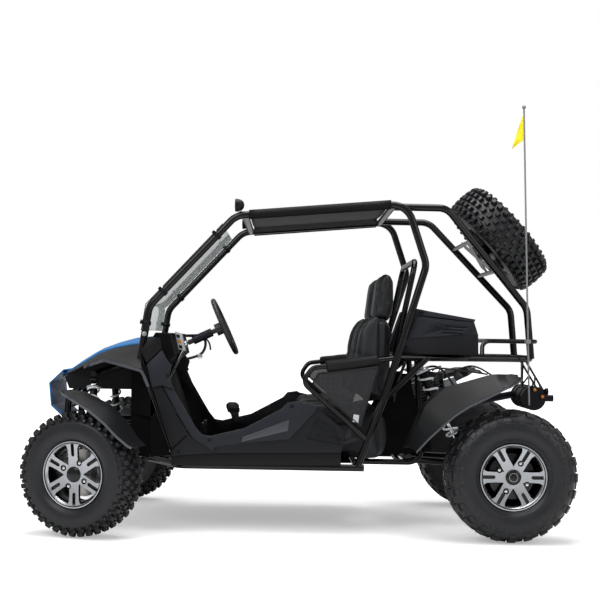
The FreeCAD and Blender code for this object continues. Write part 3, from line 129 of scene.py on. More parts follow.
def grained(material, grain, depth, tone=0.12, cells=False):
    """Gives a finish its surface grain in millimetres, with slow changes of tone and gloss."""
    tree = material.node_tree
    shader = tree.nodes["Principled BSDF"]
    place = add_node(tree, "ShaderNodeTexCoord", {}).outputs["Object"]
    scale = 1000.0 / grain
    if cells:
        fine = add_node(tree, "ShaderNodeTexVoronoi", {"Vector": place, "Scale": scale},
                        feature="SMOOTH_F1").outputs["Distance"]
    else:
        fine = add_node(tree, "ShaderNodeTexNoise", {"Vector": place, "Scale": scale,
            "Detail": 3.0}).outputs["Fac"]
    slow = add_node(tree, "ShaderNodeTexNoise", {"Vector": place, "Scale": 9.0, "Detail": 4.0}).outputs["Fac"]
    base = list(shader.inputs["Base Color"].default_value)
    dark = [c * (1 - tone) for c in base[:3]] + [1.0]
    light = [min(1.0, c * (1 + tone)) for c in base[:3]] + [1.0]
    mixed = add_node(tree, "ShaderNodeMix", {"Factor": slow, "A": dark, "B": light}, data_type="RGBA")
    for socket, value in ((mixed.inputs[6], dark), (mixed.inputs[7], light)):
        socket.default_value = value
    tree.links.new(mixed.outputs[2], shader.inputs["Base Color"])
    rough = shader.inputs["Roughness"].default_value
    gloss = add_node(tree, "ShaderNodeMapRange", {
        "Value": slow, "From Min": 0.3, "From Max": 0.7, "To Min": rough * 0.85,
        "To Max": min(1.0, rough * 1.15)})
    tree.links.new(gloss.outputs["Result"], shader.inputs["Roughness"])
    bump = add_node(tree, "ShaderNodeBump", {"Height": fine, "Strength": 0.6, "Distance": depth * MM})
    tree.links.new(bump.outputs["Normal"], shader.inputs["Normal"])
    return material


def woven(material, thread, depth):
    """Crossed threads in millimetres, as bump."""
    tree = material.node_tree
    shader = tree.nodes["Principled BSDF"]
    place = add_node(tree, "ShaderNodeTexCoord", {}).outputs["Object"]
    bands = []
    for direction in ("X", "Y", "Z"):
        wave = add_node(tree, "ShaderNodeTexWave", {"Vector": place,
            "Scale": 1000.0 / thread / TURN * math.pi},
                        wave_type="BANDS", bands_direction=direction)
        bands.append(wave.outputs["Fac"])
    cross = add_node(tree, "ShaderNodeMath", {0: bands[0], 1: bands[1]}, operation="MULTIPLY").outputs[0]
    cross = add_node(tree, "ShaderNodeMath", {0: cross, 1: bands[2]}, operation="ADD").outputs[0]
    bump = add_node(tree, "ShaderNodeBump", {"Height": cross, "Strength": 0.5, "Distance": depth * MM})
    tree.links.new(bump.outputs["Normal"], shader.inputs["Normal"])
    return material


FINISHES = {}

# Each row: name, colour or the name of a colour setting, roughness, surface values, further shader values.
# Surface values are the grain and its depth in millimetres, the change of tone, and whether it has cells.
GRAINED = [
    # Powder coat over steel tube: deep gloss black with a faint orange peel, 3 mm across.
    ("powder_coated_steel", "#050506", 0.2, (3.0, 0.05, 0.1),
     {"specular_ior_level": 0.3, "coat_weight": 0.1, "coat_roughness": 0.08}),
    # Moulded ABS: satin grey-black with a fine spark-eroded grain.
    ("moulded_abs", "#15161a", 0.45, (1.2, 0.12, 0.1), {"specular_ior_level": 0.2}),
    # The same plastic with a coarser grain on the raised panels, a little lighter as a painted sheen where
    # the raised facets catch the light.
    ("textured_abs", "#212329", 0.5, (1.6, 0.16, 0.1), {"specular_ior_level": 0.2}),
    # Polypropylene of mudguards and shells: darker than the panels, with a soft grain.
    ("moulded_polypropylene", "#0d0e10", 0.45, (1.6, 0.16, 0.12), {"specular_ior_level": 0.2}),
    # The same along a turned lip, made lighter as a painted highlight where the lip catches the light: a mid
    # grey line.
    ("lip_polypropylene", "#46484e", 0.4, (1.6, 0.1, 0.08), {"specular_ior_level": 0.4}),
    # Rough powder coat of the floor pan and dash: no gloss even at a glance.
    ("textured_powder_coat", "#0b0b0c", 0.75, (2.0, 0.15, 0.1), {"specular_ior_level": 0.08}),
    # Clear-coated paint: smooth and bright.
    ("clear_coated_paint", "body", 0.4, (4.0, 0.02, 0.06),
     {"specular_ior_level": 0.2, "coat_weight": 0.1, "coat_roughness": 0.1}),
    # Tyre rubber: dull, near neutral dark grey, with fine moulding texture.
    ("tyre_rubber", "#17181b", 0.42, (2.2, 0.25, 0.22), {"specular_ior_level": 0.4}),
    # Diamond-turned alloy: bright face with a silky grain.
    ("machined_alloy", "#b4b7bb", 0.28, (1.0, 0.03, 0.06), {"metallic": 1.0}),
    # Sand-cast alloy: as bright, but rough and uneven.
    ("cast_alloy", "#a4a7aa", 0.42, (1.8, 0.3, 0.2), {"metallic": 1.0}),
    # Rim paint: a glossy near black behind the bright spokes.
    ("gloss_rim_paint", "#060607", 0.25, (3.0, 0.03, 0.1),
     {"specular_ior_level": 0.3, "coat_weight": 0.2, "coat_roughness": 0.1}),
    # Turned disc steel and plated steel: cool greys, the plated one a near mirror.
    ("disc_steel", "#b3b2ae", 0.34, (0.9, 0.04, 0.1), {"metallic": 1.0}),
    ("plated_steel", "#cfd1d3", 0.14, (3.0, 0.01, 0.05), {"metallic": 1.0}),
    # Black-coated castings of the engine: dull, with the roughness of sand.
    ("black_casting", "#131315", 0.5, (1.8, 0.3, 0.2), {"specular_ior_level": 0.3}),
    # Glass fibre of the whip: plain mid grey.
    ("glass_fibre", "#7d7f80", 0.4, (2.0, 0.02, 0.05), {}),
    # Blackened steel: dark metal with an uneven gloss.
    ("dark_steel", "#26262a", 0.42, (2.0, 0.12, 0.25), {"metallic": 1.0}),
    # Enamel of the coil springs: smooth and glossy.
    ("spring_enamel", "spring", 0.28, (3.0, 0.04, 0.05), {"coat_weight": 0.5, "coat_roughness": 0.1}),
    # Coated seat vinyl: soft sheen over a leather-like cell of about 2 mm, drawn at 3 mm to show.
    ("seat_vinyl", "#191b1f", 0.45, (3.0, 0.35, 0.12, True), {"specular_ior_level": 0.35}),
    # Closed-cell foam sleeve: dull and slightly pitted.
    ("sleeve_foam", "#0d0e10", 0.6, (2.4, 0.3, 0.14), {"specular_ior_level": 0.25}),
    # Soft grip of the steering wheel and the hand brake: satin, with a small cell.
    ("soft_grip_pvc", "#18191b", 0.48, (1.8, 0.2, 0.1, True), {}),
    # Blank printed vinyl of the net's patch and the panel's label.
    ("label_vinyl", "#b9bcbf", 0.4, (4.0, 0.02, 0.03), {}),
    ("label_grey", "#3a3d44", 0.35, (4.0, 0.02, 0.05), {}),
]
WOVEN = [
    # Coated polyester roof cloth: 0.6 mm threads, drawn at 3 mm to show.
    ("coated_polyester", "#0b0c0e", 0.6, (3.0, 0.25), {"specular_ior_level": 0.15}),
    # Webbing at the nets' edges: dull black with a plain thread.
    ("polyester_webbing", "#121315", 0.75, (2.0, 0.3), {}),
    # Nylon of the pennant: bright and flat, with a faint thread.
    ("pennant_nylon", "flag", 0.6, (2.0, 0.1), {}),
]
CLEAR = [
    # Clear polycarbonate screen: nearly colourless, with sharp reflections.
    ("clear_polycarbonate", "#e8eeee", 0.03, (), {"transmission_weight": 1.0, "ior": 1.45}),
    # Lamp lenses: clear with a slight grey.
    ("lens_glass", "#c9cdd0", 0.08, (), {"transmission_weight": 0.85, "ior": 1.45}),
    # Amber lamp domes: mostly solid colour, with a little depth.
    ("amber_acrylic", "#d98a1c", 0.15, (), {"transmission_weight": 0.3, "ior": 1.49}),
]


def make_finishes():
    """Every finish on the buggy, named for the real material."""
    colours = bpy.context.scene.buggy_colours
    for surface, rows in ((grained, GRAINED), (woven, WOVEN), (None, CLEAR)):
        for name, colour, roughness, values, inputs in rows:
            tint = colour if colour.startswith("#") else getattr(colours, colour)
            material = start_finish(name, tint, roughness, **inputs)[0]
            if surface:
                surface(material, *values)
            FINISHES[name] = material
    FINISHES["knitted_mesh"] = mesh_finish()


def mesh_finish():
    """Knitted polyester mesh: a dark thread grid with open holes, 3 mm apart, drawn at 6 mm to show."""
    material, tree, shader = start_finish("knitted_mesh", "#1a1b1e", 0.7)
    place = add_node(tree, "ShaderNodeTexCoord", {}).outputs["Object"]
    waves = []
    for direction in ("X", "Z"):
        wave = add_node(tree, "ShaderNodeTexWave", {"Vector": place, "Scale": 83.0},
                        wave_type="BANDS", bands_direction=direction)
        waves.append(wave.outputs["Fac"])
    thread = add_node(tree, "ShaderNodeMath", {0: waves[0], 1: waves[1]}, operation="MAXIMUM").outputs[0]
    edge = add_node(tree, "ShaderNodeMapRange", {
        "Value": thread, "From Min": 0.45, "From Max": 0.6, "To Min": 0.5, "To Max": 1.0})
    tree.links.new(edge.outputs["Result"], shader.inputs["Alpha"])
    return material


CAD_FINISHES = {
    "powder_coated_steel": [
        "roll_cage", "tail_frame", "arm_guards", "chassis_frame", "front_wishbones", "swing_arm",
        "spare_mount"], "textured_powder_coat": ["floor_pan", "dashboard"],
    "moulded_abs": ["side_panels", "rear_covers"],
    "moulded_polypropylene": [
        "shoulder_shells", "rear_mudguards", "front_mudguard_left", "front_mudguard_right"],
    "clear_coated_paint": ["hood", "nose_panel"],
    "cast_alloy": ["steering_knuckle_left", "steering_knuckle_right"],
    "black_casting": ["engine"],
    "glass_fibre": ["flag_pole"],
    "dark_steel": ["muffler", "steering_housing", "controls"],
    "plated_steel": ["steering_rack", "steering_shaft", "rear_axle"],
    "soft_grip_pvc": ["steering_wheel"],
    "clear_polycarbonate": ["windscreen"],
}


# Modelling helpers

# Points closer than this, in metres, are one.
SAME_PLACE = 0.00001


def deselect():
    for item in list(bpy.context.selected_objects):
        item.select_set(False)
    bpy.context.view_layer.objects.active = None


def only(piece):
    deselect()
    piece.select_set(True)
    bpy.context.view_layer.objects.active = piece
    return piece


def new_piece(name):
    """The primitive that was just added, with its place taken into its mesh."""
    piece = bpy.context.active_object
    piece.name = name
    piece.data.name = name
    bpy.ops.object.transform_apply(location=True, rotation=True, scale=True)
    return piece


def paint(piece, *finishes):
    piece.data.materials.clear()
    for finish in finishes:
        piece.data.materials.append(FINISHES[finish])
    return piece


def select_faces(piece, test):
    """Selects, in edit mode, the faces whose centre and normal pass the test."""
    bpy.ops.object.mode_set(mode="EDIT")
    bpy.ops.mesh.select_mode(type="FACE")
    bpy.ops.mesh.select_all(action="DESELECT")
    bpy.ops.object.mode_set(mode="OBJECT")
    for face in piece.data.polygons:
        face.select = test(face.center, face.normal)
    bpy.ops.object.mode_set(mode="EDIT")


def select_points(piece, test):
    bpy.ops.object.mode_set(mode="EDIT")
    bpy.ops.mesh.select_mode(type="VERT")
    bpy.ops.mesh.select_all(action="DESELECT")
    bpy.ops.object.mode_set(mode="OBJECT")
    for point in piece.data.vertices:
        point.select = test(point.co)
    bpy.ops.object.mode_set(mode="EDIT")


def all_in_edit(piece):
    only(piece)
    bpy.ops.object.mode_set(mode="EDIT")
    bpy.ops.mesh.select_mode(type="VERT")
    bpy.ops.mesh.select_all(action="SELECT")


def merge_all():
    """Merges the points that share a place, as where an outline closes, and leaves all selected."""
    bpy.ops.mesh.select_all(action="SELECT")
    bpy.ops.mesh.remove_doubles(threshold=SAME_PLACE)
    bpy.ops.mesh.select_all(action="SELECT")


def done(piece, smooth=None):
    bpy.ops.object.mode_set(mode="OBJECT")
    if smooth is not None:
        only(piece)
        bpy.ops.object.shade_smooth_by_angle(angle=math.radians(smooth))
    return piece


def outward(piece):
    """Merges doubles and turns every face outwards."""
    all_in_edit(piece)
    bpy.ops.mesh.remove_doubles(threshold=0.00005)
    bpy.ops.mesh.normals_make_consistent(inside=False)
    return done(piece)


def apply_modifier(piece, kind, **settings):
    only(piece)
    modifier = piece.modifiers.new(kind.title(), kind)
    for name, value in settings.items():
        setattr(modifier, name, value)
    bpy.ops.object.modifier_apply(modifier=modifier.name)
    return piece


def joined(name, pieces):
    deselect()
    for piece in pieces:
        piece.select_set(True)
    bpy.context.view_layer.objects.active = pieces[0]
    bpy.ops.object.join()
    pieces[0].name = name
    pieces[0].data.name = name
    return pieces[0]


def copy_of(piece, name):
    only(piece)
    bpy.ops.object.duplicate()
    made = bpy.context.active_object
    made.name = name
    made.data.name = name
    return made


def put(piece, matrix):
    """Places a piece, and takes the place into its mesh."""
    only(piece)
    piece.matrix_world = matrix
    bpy.ops.object.transform_apply(location=True, rotation=True, scale=True)
    if matrix.determinant() < 0:
        all_in_edit(piece)
        bpy.ops.mesh.flip_normals()
        done(piece)
    return piece


def mirrored(piece, name):
    return put(copy_of(piece, name), Matrix.Scale(-1, 4, (0, 1, 0)))


def line_of(name, points):
    """A chain of edges through the points, in metres."""
    deselect()
    bpy.ops.mesh.primitive_plane_add(size=0.001)
    piece = new_piece(name)
    bpy.ops.object.mode_set(mode="EDIT")
    bpy.ops.mesh.select_mode(type="VERT")
    bpy.ops.mesh.select_all(action="SELECT")
    bpy.ops.mesh.merge(type="CENTER")
    here = Vector(points[0])
    bpy.ops.transform.translate(value=here)
    for point in points[1:]:
        step = Vector(point) - here
        bpy.ops.mesh.extrude_vertices_move(TRANSFORM_OT_translate={"value": step})
        here = Vector(point)
    return piece


def lathe(name, profile, steps, finish, smooth=35, closed=True):
    """A turned form about the Y axis, from (radius, y) pairs in millimetres."""
    points = [(r * MM, y * MM, 0) for r, y in profile]
    if closed:
        points.append(points[0])
    piece = line_of(name, points)
    merge_all()
    bpy.ops.mesh.spin(steps=steps, angle=TURN, center=(0, 0, 0), axis=(0, 1, 0))
    done(piece)
    outward(piece)
    paint(piece, finish)
    return done(piece, smooth)


def block(name, size, place, turn=(0, 0, 0), taper=0.85, bevel=1.2):
    """A moulded block in millimetres, narrower at its outer face, which looks along its own +Z."""
    deselect()
    bpy.ops.mesh.primitive_cube_add(size=1)
    piece = new_piece(name)
    bpy.ops.object.mode_set(mode="EDIT")
    bpy.ops.mesh.select_all(action="SELECT")
    bpy.ops.transform.resize(value=[s * MM for s in size], center_override=(0, 0, 0))
    done(piece)
    select_faces(piece, lambda c, n: n.z > 0.9)
    bpy.ops.transform.resize(value=(taper, taper, 1), center_override=(0, 0, size[2] / 2 * MM))
    bpy.ops.mesh.select_all(action="SELECT")
    if bevel:
        bpy.ops.mesh.bevel(offset=bevel * MM, segments=1, affect="EDGES")
    done(piece)
    spin = Matrix.Rotation(turn[2], 4, "Z") @ Matrix.Rotation(turn[1], 4, "Y") @ Matrix.Rotation(turn[0], 4,
        "X")
    return put(piece, Matrix.Translation([p * MM for p in place]) @ spin)


def plate(name, outline, low, high, finish, bevel=1.5):
    """A flat panel from its side outline of (x, z) pairs, between two stations across, in millimetres."""
    piece = line_of(name, [(x * MM, low * MM, z * MM) for x, z in outline + outline[:1]])
    merge_all()
    bpy.ops.mesh.edge_face_add()
    bpy.ops.mesh.extrude_region_move(TRANSFORM_OT_translate={"value": (0, (high - low) * MM, 0)})
    done(piece)
    outward(piece)
    if bevel:
        apply_modifier(piece, "BEVEL", width=bevel * MM, segments=2, limit_method="ANGLE")
    paint(piece, finish)
    return done(piece, 30)


def creased(piece, start, end):
    """Cuts an edge line across a panel, through two (x, z) points in millimetres."""
    all_in_edit(piece)
    along = Vector((end[0] - start[0], 0, end[1] - start[1]))
    normal = along.cross(Vector((0, 1, 0))).normalized()
    bpy.ops.mesh.bisect(plane_co=(start[0] * MM, 0, start[1] * MM), plane_no=normal)
    return done(piece)


def drawn_in(piece, test, step):
    """Moves the points that pass the test by a step across, in millimetres."""
    select_points(piece, test)
    bpy.ops.transform.translate(value=(0, step * MM, 0))
    return done(piece)


def cut_out(piece, tools):
    """Takes closed forms out of a piece."""
    tool = joined("tool", tools) if len(tools) > 1 else tools[0]
    apply_modifier(piece, "BOOLEAN", object=tool, operation="DIFFERENCE", solver="EXACT")
    bpy.data.objects.remove(tool)
    return piece


def spaced(points, count):
    """Points evenly spaced along a line."""
    points = [Vector(p) for p in points]
    runs = [0.0]
    for a, b in zip(points, points[1:]):
        runs.append(runs[-1] + (b - a).length)
    made = []
    for index in range(count):
        goal = runs[-1] * index / (count - 1)
        at = max(i for i in range(len(points) - 1) if runs[i] <= goal + 1e-9)
        share = (goal - runs[at]) / (runs[at + 1] - runs[at])
        made.append(points[at].lerp(points[at + 1], min(1.0, share)))
    return made


def lofted(name, rows, count, thickness, finish, smooth=40):
    """A moulded shell through lines of (x, y, z) points, thickened about its middle, in millimetres."""
    rows = [spaced(row, count) for row in rows]
    piece = line_of(name, [p * MM for p in rows[0]])
    bpy.ops.mesh.select_all(action="SELECT")
    for row in rows[1:]:
        bpy.ops.mesh.extrude_region_move(TRANSFORM_OT_translate={"value": (0, 0, 0)})
        done(piece)
        for point, target in zip(list(piece.data.vertices)[-count:], row):
            point.co = target * MM
        bpy.ops.object.mode_set(mode="EDIT")
    done(piece)
    all_in_edit(piece)
    bpy.ops.mesh.normals_make_consistent(inside=False)
    done(piece)
    apply_modifier(piece, "SOLIDIFY", thickness=thickness * MM, offset=0.0)
    outward(piece)
    paint(piece, finish)
    return done(piece, smooth)


def leaned(piece, test, level, slope):
    """Leans the points that pass the test inwards above a level in millimetres."""
    for point in piece.data.vertices:
        if test(point.co):
            point.co.y -= slope * (point.co.z - level * MM)
    return piece


def facing(place, direction):
    """The place of a form modelled on +Y, turned to look along a direction; place in millimetres."""
    spin = Vector((0, 1, 0)).rotation_difference(Vector(direction)).to_matrix().to_4x4()
    return Matrix.Translation(Vector(place) * MM) @ spin


def bolt(place, direction, size, finish="plated_steel"):
    """A hexagon head on its washer; size is half the head's width in millimetres."""
    washer = lathe("bolt", [(0.5, 0), (size * 1.5, 0), (size * 1.5, 1.2), (0.5, 1.2)], 24, finish, 30)
    head = lathe("head", [(0.5, 1.2), (size, 1.2), (size, size * 0.8), (size * 0.8, size), (0.5, size)], 6,
        finish, 20)
    return put(joined("bolt", [washer, head]), facing(place, direction))


def round_axle(piece, count):
    """Repeats a piece in a ring about the Y axis."""
    all_in_edit(piece)
    bpy.ops.mesh.spin(dupli=True, steps=count - 1, angle=TURN * (count - 1) / count, center=(0, 0, 0),
        axis=(0, 1, 0))
    return done(piece)


def rod(name, start, end, radius, finish, sides=24, bevel=0.8):
    """A turned rod with broken edges between two points, radius in millimetres."""
    start, end = Vector(start), Vector(end)
    deselect()
    bpy.ops.mesh.primitive_cylinder_add(vertices=sides, radius=radius * MM, depth=(end - start).length)
    piece = new_piece(name)
    select_faces(piece, lambda c, n: abs(n.z) > 0.9)
    bpy.ops.mesh.bevel(offset=bevel * MM, segments=2, affect="EDGES")
    done(piece)
    spin = Vector((0, 0, 1)).rotation_difference(end - start).to_matrix().to_4x4()
    put(piece, Matrix.Translation((start + end) / 2) @ spin)
    paint(piece, finish)
    return done(piece, 35)


def pipe(name, points, radius, finish, steps=10):
    """A bent round bar through the points, radius in millimetres."""
    deselect()
    curve = bpy.data.curves.new(name, "CURVE")
    curve.dimensions = "3D"
    curve.bevel_depth = radius * MM
    curve.bevel_resolution = 4
    curve.resolution_u = steps
    curve.use_fill_caps = True
    spline = curve.splines.new("NURBS")
    spline.points.add(len(points) - 1)
    for knot, point in zip(spline.points, points):
        knot.co = (*point, 1)
    spline.order_u = 3
    spline.use_endpoint_u = True
    piece = bpy.data.objects.new(name, curve)
    bpy.context.scene.collection.objects.link(piece)
    only(piece)
    bpy.ops.object.convert(target="MESH")
    piece = bpy.context.active_object
    paint(piece, finish)
    return done(piece, 40)


# Wheels


def centre_of(node):
    low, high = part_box(node)
    return (low + high) / 2


def wheel_place(node, side, turn):
    """Puts a wheel modelled on +Y at its node, with its face outwards and its steering turn."""
    place = Matrix.Translation(centre_of(node)) @ Matrix.Rotation(turn, 4, "Z")
    return place @ Matrix.Scale(-1, 4, (0, 1, 0)) if side < 0 else place


def spare_place():
    outwards = Vector((-431.0, 0.0, 385.0)).normalized()
    spin = Vector((0, 1, 0)).rotation_difference(outwards).to_matrix().to_4x4()
    return Matrix.Translation(centre_of("spare_tyre")) @ spin


def both_ways(half):
    return half + [(r, -y) for r, y in half[::-1] if y > 0]


def front_carcass(name):
    half = [
        (127.5, 66), (139.5, 66.5), (142, 70), (150, 79), (165, 86), (183, 88.4), (200, 87), (214, 83.5),
        (216, 84), (218, 82.5), (229, 74), (237, 62), (243, 42), (246, 20), (247, 0)]
    return lathe(name, both_ways(half), 96, "tyre_rubber", 50)


def lug_row(count, size, radius, y, tilt, phase, taper=0.82):
    """One ring of lugs; the tilt leans a lug's face towards the sidewall."""
    angle = phase * TURN / count
    place = (radius * math.sin(angle), y, radius * math.cos(angle))
    lug = block("lug", size, place, (-math.radians(tilt), angle, 0), taper, 1.6)
    return round_axle(lug, count)


def front_tyre(name):
    count = bpy.context.scene.buggy_sizes.front_lugs
    rows = [lug_row(count, (20, 26, 20), 252.5, 0, 0, 0.0)]
    for side in (1, -1):
        rows.append(lug_row(count, (20, 22, 20), 251, side * 31, side * 4, 0.5))
        rows.append(lug_row(count, (23, 24, 22), 245, side * 60, side * 24, 0.0))
        rows.append(lug_row(count, (18, 16, 18), 230, side * 77, side * 62, 0.5, 0.7))
    tyre = joined(name, [front_carcass(name)] + rows)
    return paint(tyre, "tyre_rubber")


def rear_tyre(name):
    count = bpy.context.scene.buggy_sizes.rear_lugs
    half = [
        (127.5, 96), (139.5, 96.5), (142, 101), (150, 108), (158, 114), (160, 117), (163, 116), (178, 121),
        (196, 123.5), (214, 122), (230, 117), (246, 106), (257, 90), (263, 70), (267, 40), (269, 0)]
    carcass = lathe(name, both_ways(half), 96, "tyre_rubber", 50)
    rows = []
    for side in (1, -1):
        rows.append(lug_row(count, (34, 44, 16), 268.5, side * 26, side * 3, 0.25 + 0.25 * side, 0.86))
        rows.append(lug_row(count, (40, 46, 20), 260, side * 77, side * 22, 0.25 - 0.25 * side, 0.86))
        rows.append(lug_row(count, (32, 26, 12), 241, side * 107, side * 58, 0.25 - 0.25 * side, 0.8))
        marks = lug_row(count, (22, 24, 6), 217, side * 121, side * 82, 0.25 + 0.25 * side, 0.9)
        rows.append(marks)
    tyre = joined(name, [carcass] + rows)
    return paint(tyre, "tyre_rubber")


WINDOW = [
    (45, 0), (75.7, 18.9), (105, 34.1), (118.8, 35.4), (124.2, 31), (127, 15.6), (128.5, 0), (127, -15.6),
    (124.2, -31), (118.8, -35.4), (105, -34.1), (75.7, -18.9)]
SLOT = [(81.5, -7.5), (127, -7.5), (127, 7.5), (81.5, 7.5), (76.5, 5.3), (74, 0), (76.5, -5.3)]


def turned(piece, degrees):
    """Turns a piece about the Y axis, from +X towards +Z."""
    return put(piece, Matrix.Rotation(-math.radians(degrees), 4, "Y"))


# Faces between these reaches, in millimetres, stay in the dark paint.
PAINTED_FROM = 131
PAINTED_TO = 132


def wheel_face(face, spoke_turn, nut_turn, reach):
    """The machined face with its windows, the spokes' sunk slots and the wells of four nuts."""
    count = bpy.context.scene.buggy_sizes.spokes
    disc = lathe("face", [
        (30, face), (50, face), (90, face + 3), (129, face + 6), (131, face + 4), (129, face - 8),
        (50, face - 14), (30, face - 14)], 120, "gloss_rim_paint", 30)
    windows = round_axle(plate("window", WINDOW, face - 30, face + 20, "gloss_rim_paint", 0), count)
    slots = round_axle(plate("slot", SLOT, face - 6, face + 20, "gloss_rim_paint", 0), count)
    well = rod("well", (reach * MM, (face - 9) * MM, 0), (reach * MM, (face + 20) * MM, 0), 12.8,
        "gloss_rim_paint")
    wells = round_axle(well, 4)
    cut_out(disc, [turned(windows, spoke_turn + 180 / count)])
    cut_out(disc, [turned(slots, spoke_turn)])
    cut_out(disc, [turned(wells, nut_turn)])
    apply_modifier(disc, "BEVEL", width=0.8 * MM, segments=2, limit_method="ANGLE")
    return outward(disc)


def rim(name, width, recess, disc_y, spoke_turn, nut_reach):
    """A turned barrel with a machined face of split spokes, a capped hub and four nuts; it looks along +Y."""
    half = width / 2
    face = half - recess
    barrel = lathe(name, [
        (138.6, half), (139, half - 2), (139, half - 5), (136, half - 6), (128, half - 8), (127, half - 14),
        (118, half - 34), (118, -half + 34), (127, -half + 12), (127, -half + 6), (139, -half + 5),
        (139, -half + 1),
        (134, -half), (122, -half), (114, -half + 34), (114, half - 36), (121, half - 12), (130, half - 3),
        (134, half), (136, half + 0.2)], 96, "gloss_rim_paint", 30)
    wheel = joined(name, [barrel, wheel_face(face, spoke_turn, 27, nut_reach)])
    paint(wheel, "gloss_rim_paint", "machined_alloy")
    only(wheel)

    def bright(c, n):
        reach = math.hypot(c.x, c.z) / MM
        flat = face + max(0, (reach - 50) * 0.075)
        return n.y > 0.3 and c.y > (flat - 1.6) * MM and not PAINTED_FROM <= reach <= PAINTED_TO
    select_faces(wheel, bright)
    wheel.active_material_index = 1
    bpy.ops.object.material_slot_assign()
    done(wheel, 30)
    cap = lathe("cap", [(0, face + 9), (14, face + 8.5), (26, face + 6.5), (32, face + 3), (33.5, face - 3),
                        (0, face - 3)], 48, "gloss_rim_paint", 50, False)
    nut = rod("nut", (nut_reach * MM, (face - 10) * MM, 0), (nut_reach * MM, (face - 1) * MM, 0), 7,
        "plated_steel", 6)
    parts = [wheel, cap, turned(round_axle(nut, 4), 27)]
    if disc_y is None:
        parts.append(lathe("web", [(13, face - 40), (96, face - 46), (114, face - 60), (114, face - 64),
                                   (94, face - 52), (13, face - 46)], 64, "gloss_rim_paint", 30))
    else:
        parts.append(lathe("disc", [(30, disc_y - 2), (98, disc_y - 2), (98, disc_y + 2), (30, disc_y + 2)],
            64, "disc_steel", 30))
        parts.append(lathe("bell", [(12.3, disc_y - 2), (30, disc_y - 2), (30, face - 12), (12.3, face - 12)],
            48, "cast_alloy", 30))
    return joined(name, parts)


class BUGGY_OT_wheels(bpy.types.Operator):
    """Tyres with their lugs and rims with split spokes, on all wheels and the spare"""
    bl_idname = "buggy.wheels"
    bl_label = "Wheels"

    def execute(self, context):
        tyre = front_tyre("tyre_pattern")
        wheel = rim("rim_pattern", 146, FRONT_RECESS, -19, 27, 55)
        plain = rim("plain_pattern", 146, FRONT_RECESS, None, 27, 55)
        for name, side in (("left", 1), ("right", -1)):
            for pattern, kind in ((tyre, "tyre"), (wheel, "rim")):
                piece = put(copy_of(pattern, "front_%s_dressed_%s" % (kind, name)),
                            wheel_place("front_tyre_" + name, side, STEER))
                dress(piece, "front_wheel_" + name, ["front_%s_%s" % (kind, name)])
        for pattern, kind in ((tyre, "tyre"), (plain, "rim")):
            piece = put(pattern, spare_place())
            piece.name = "spare_%s_dressed" % kind
            dress(piece, "chassis", ["spare_" + kind])
        bpy.data.objects.remove(wheel)
        rear = rear_tyre("rear_tyre_dressed_left")
        rear_wheel = rim("rear_rim_dressed_left", 206, REAR_RECESS, None, 0, 65)
        low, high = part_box("rear_tyres")
        place = Vector(((low.x + high.x) / 2, high.y - 0.125, (low.z + high.z) / 2))
        for pattern, kind in ((rear, "tyre"), (rear_wheel, "rim")):
            put(pattern, Matrix.Translation(place))
            other = mirrored(pattern, "rear_%s_dressed_right" % kind)
            dress(pattern, "rear_wheels", ["rear_%ss" % kind])
            dress(other, "rear_wheels", [])
        return {"FINISHED"}


FRONT_RECESS = 12
REAR_RECESS = 12


def dress(piece, body, nodes):
    """Ties a finished piece to its body and the solids that it stands for."""
    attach(piece, body)
    if nodes:
        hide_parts(*nodes)
    return piece


class BUGGY_OT_finishes(bpy.types.Operator):
    """Procedural finishes for every solid of the frame"""
    bl_idname = "buggy.finishes"
    bl_label = "Finishes"

    def execute(self, context):
        make_finishes()
        for finish, nodes in CAD_FINISHES.items():
            for node in nodes:
                paint(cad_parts[node], finish)
        return {"FINISHED"}


# Seats and cloth


def swollen(piece, pressure, travel):
    """Swells a closed pad as foam swells its cover; no point moves further than the travel."""
    rest = [point.co.copy() for point in piece.data.vertices]
    only(piece)
    cloth = piece.modifiers.new("Cover", "CLOTH")
    cloth.settings.use_pressure = True
    cloth.settings.uniform_pressure_force = pressure
    cloth.settings.effector_weights.gravity = 0
    cloth.settings.quality = 4
    scene = bpy.context.scene
    for step in range(1, 21):
        scene.frame_set(step)
    bpy.ops.object.modifier_apply(modifier=cloth.name)
    scene.frame_set(1)
    for point, old in zip(piece.data.vertices, rest):
        move = point.co - old
        if move.length > travel:
            point.co = old + move * (travel / move.length)
    return piece


def seat_pad(name, outline, half, pull, waist):
    """A pad from its side outline of (x, z) pairs, drawn across the seat and rounded."""
    points = [(x * MM, 0, z * MM) for x, z in outline]
    piece = line_of(name, points + [points[0]])
    merge_all()
    bpy.ops.transform.translate(value=(0, -half * MM, 0))
    bpy.ops.mesh.edge_face_add()
    for share in (0.16, 0.34, 0.34, 0.16):
        bpy.ops.mesh.extrude_region_move(TRANSFORM_OT_translate={"value": (0, 2 * half * share * MM, 0)})
    done(piece)
    outward(piece)
    for side in (-1, 1):
        select_points(piece, lambda p: p.y * side > 0.6 * half * MM)
        middle = (sum(x for x, z in outline) / len(outline) * MM, 0,
            sum(z for x, z in outline) / len(outline) * MM)
        bpy.ops.transform.resize(value=(1 - pull, 1, 1 - pull * 0.5), center_override=middle)
        done(piece)
    for side in (-1, 1):
        select_points(piece, lambda p: p.y * side > 0.95 * half * MM)
        bpy.ops.transform.resize(value=(waist, 1, waist), center_override=middle)
        done(piece)
    apply_modifier(piece, "BEVEL", width=26 * MM, segments=3, limit_method="ANGLE")
    return piece


def soft_pad(piece):
    """Remeshes, swells and smooths a pad."""
    apply_modifier(piece, "REMESH", mode="VOXEL", voxel_size=6 * MM)
    swollen(piece, 4.0, bpy.context.scene.buggy_sizes.pad_swell)
    apply_modifier(piece, "SMOOTH", factor=0.5, iterations=4)
    only(piece)
    bpy.ops.object.shade_smooth()
    return piece


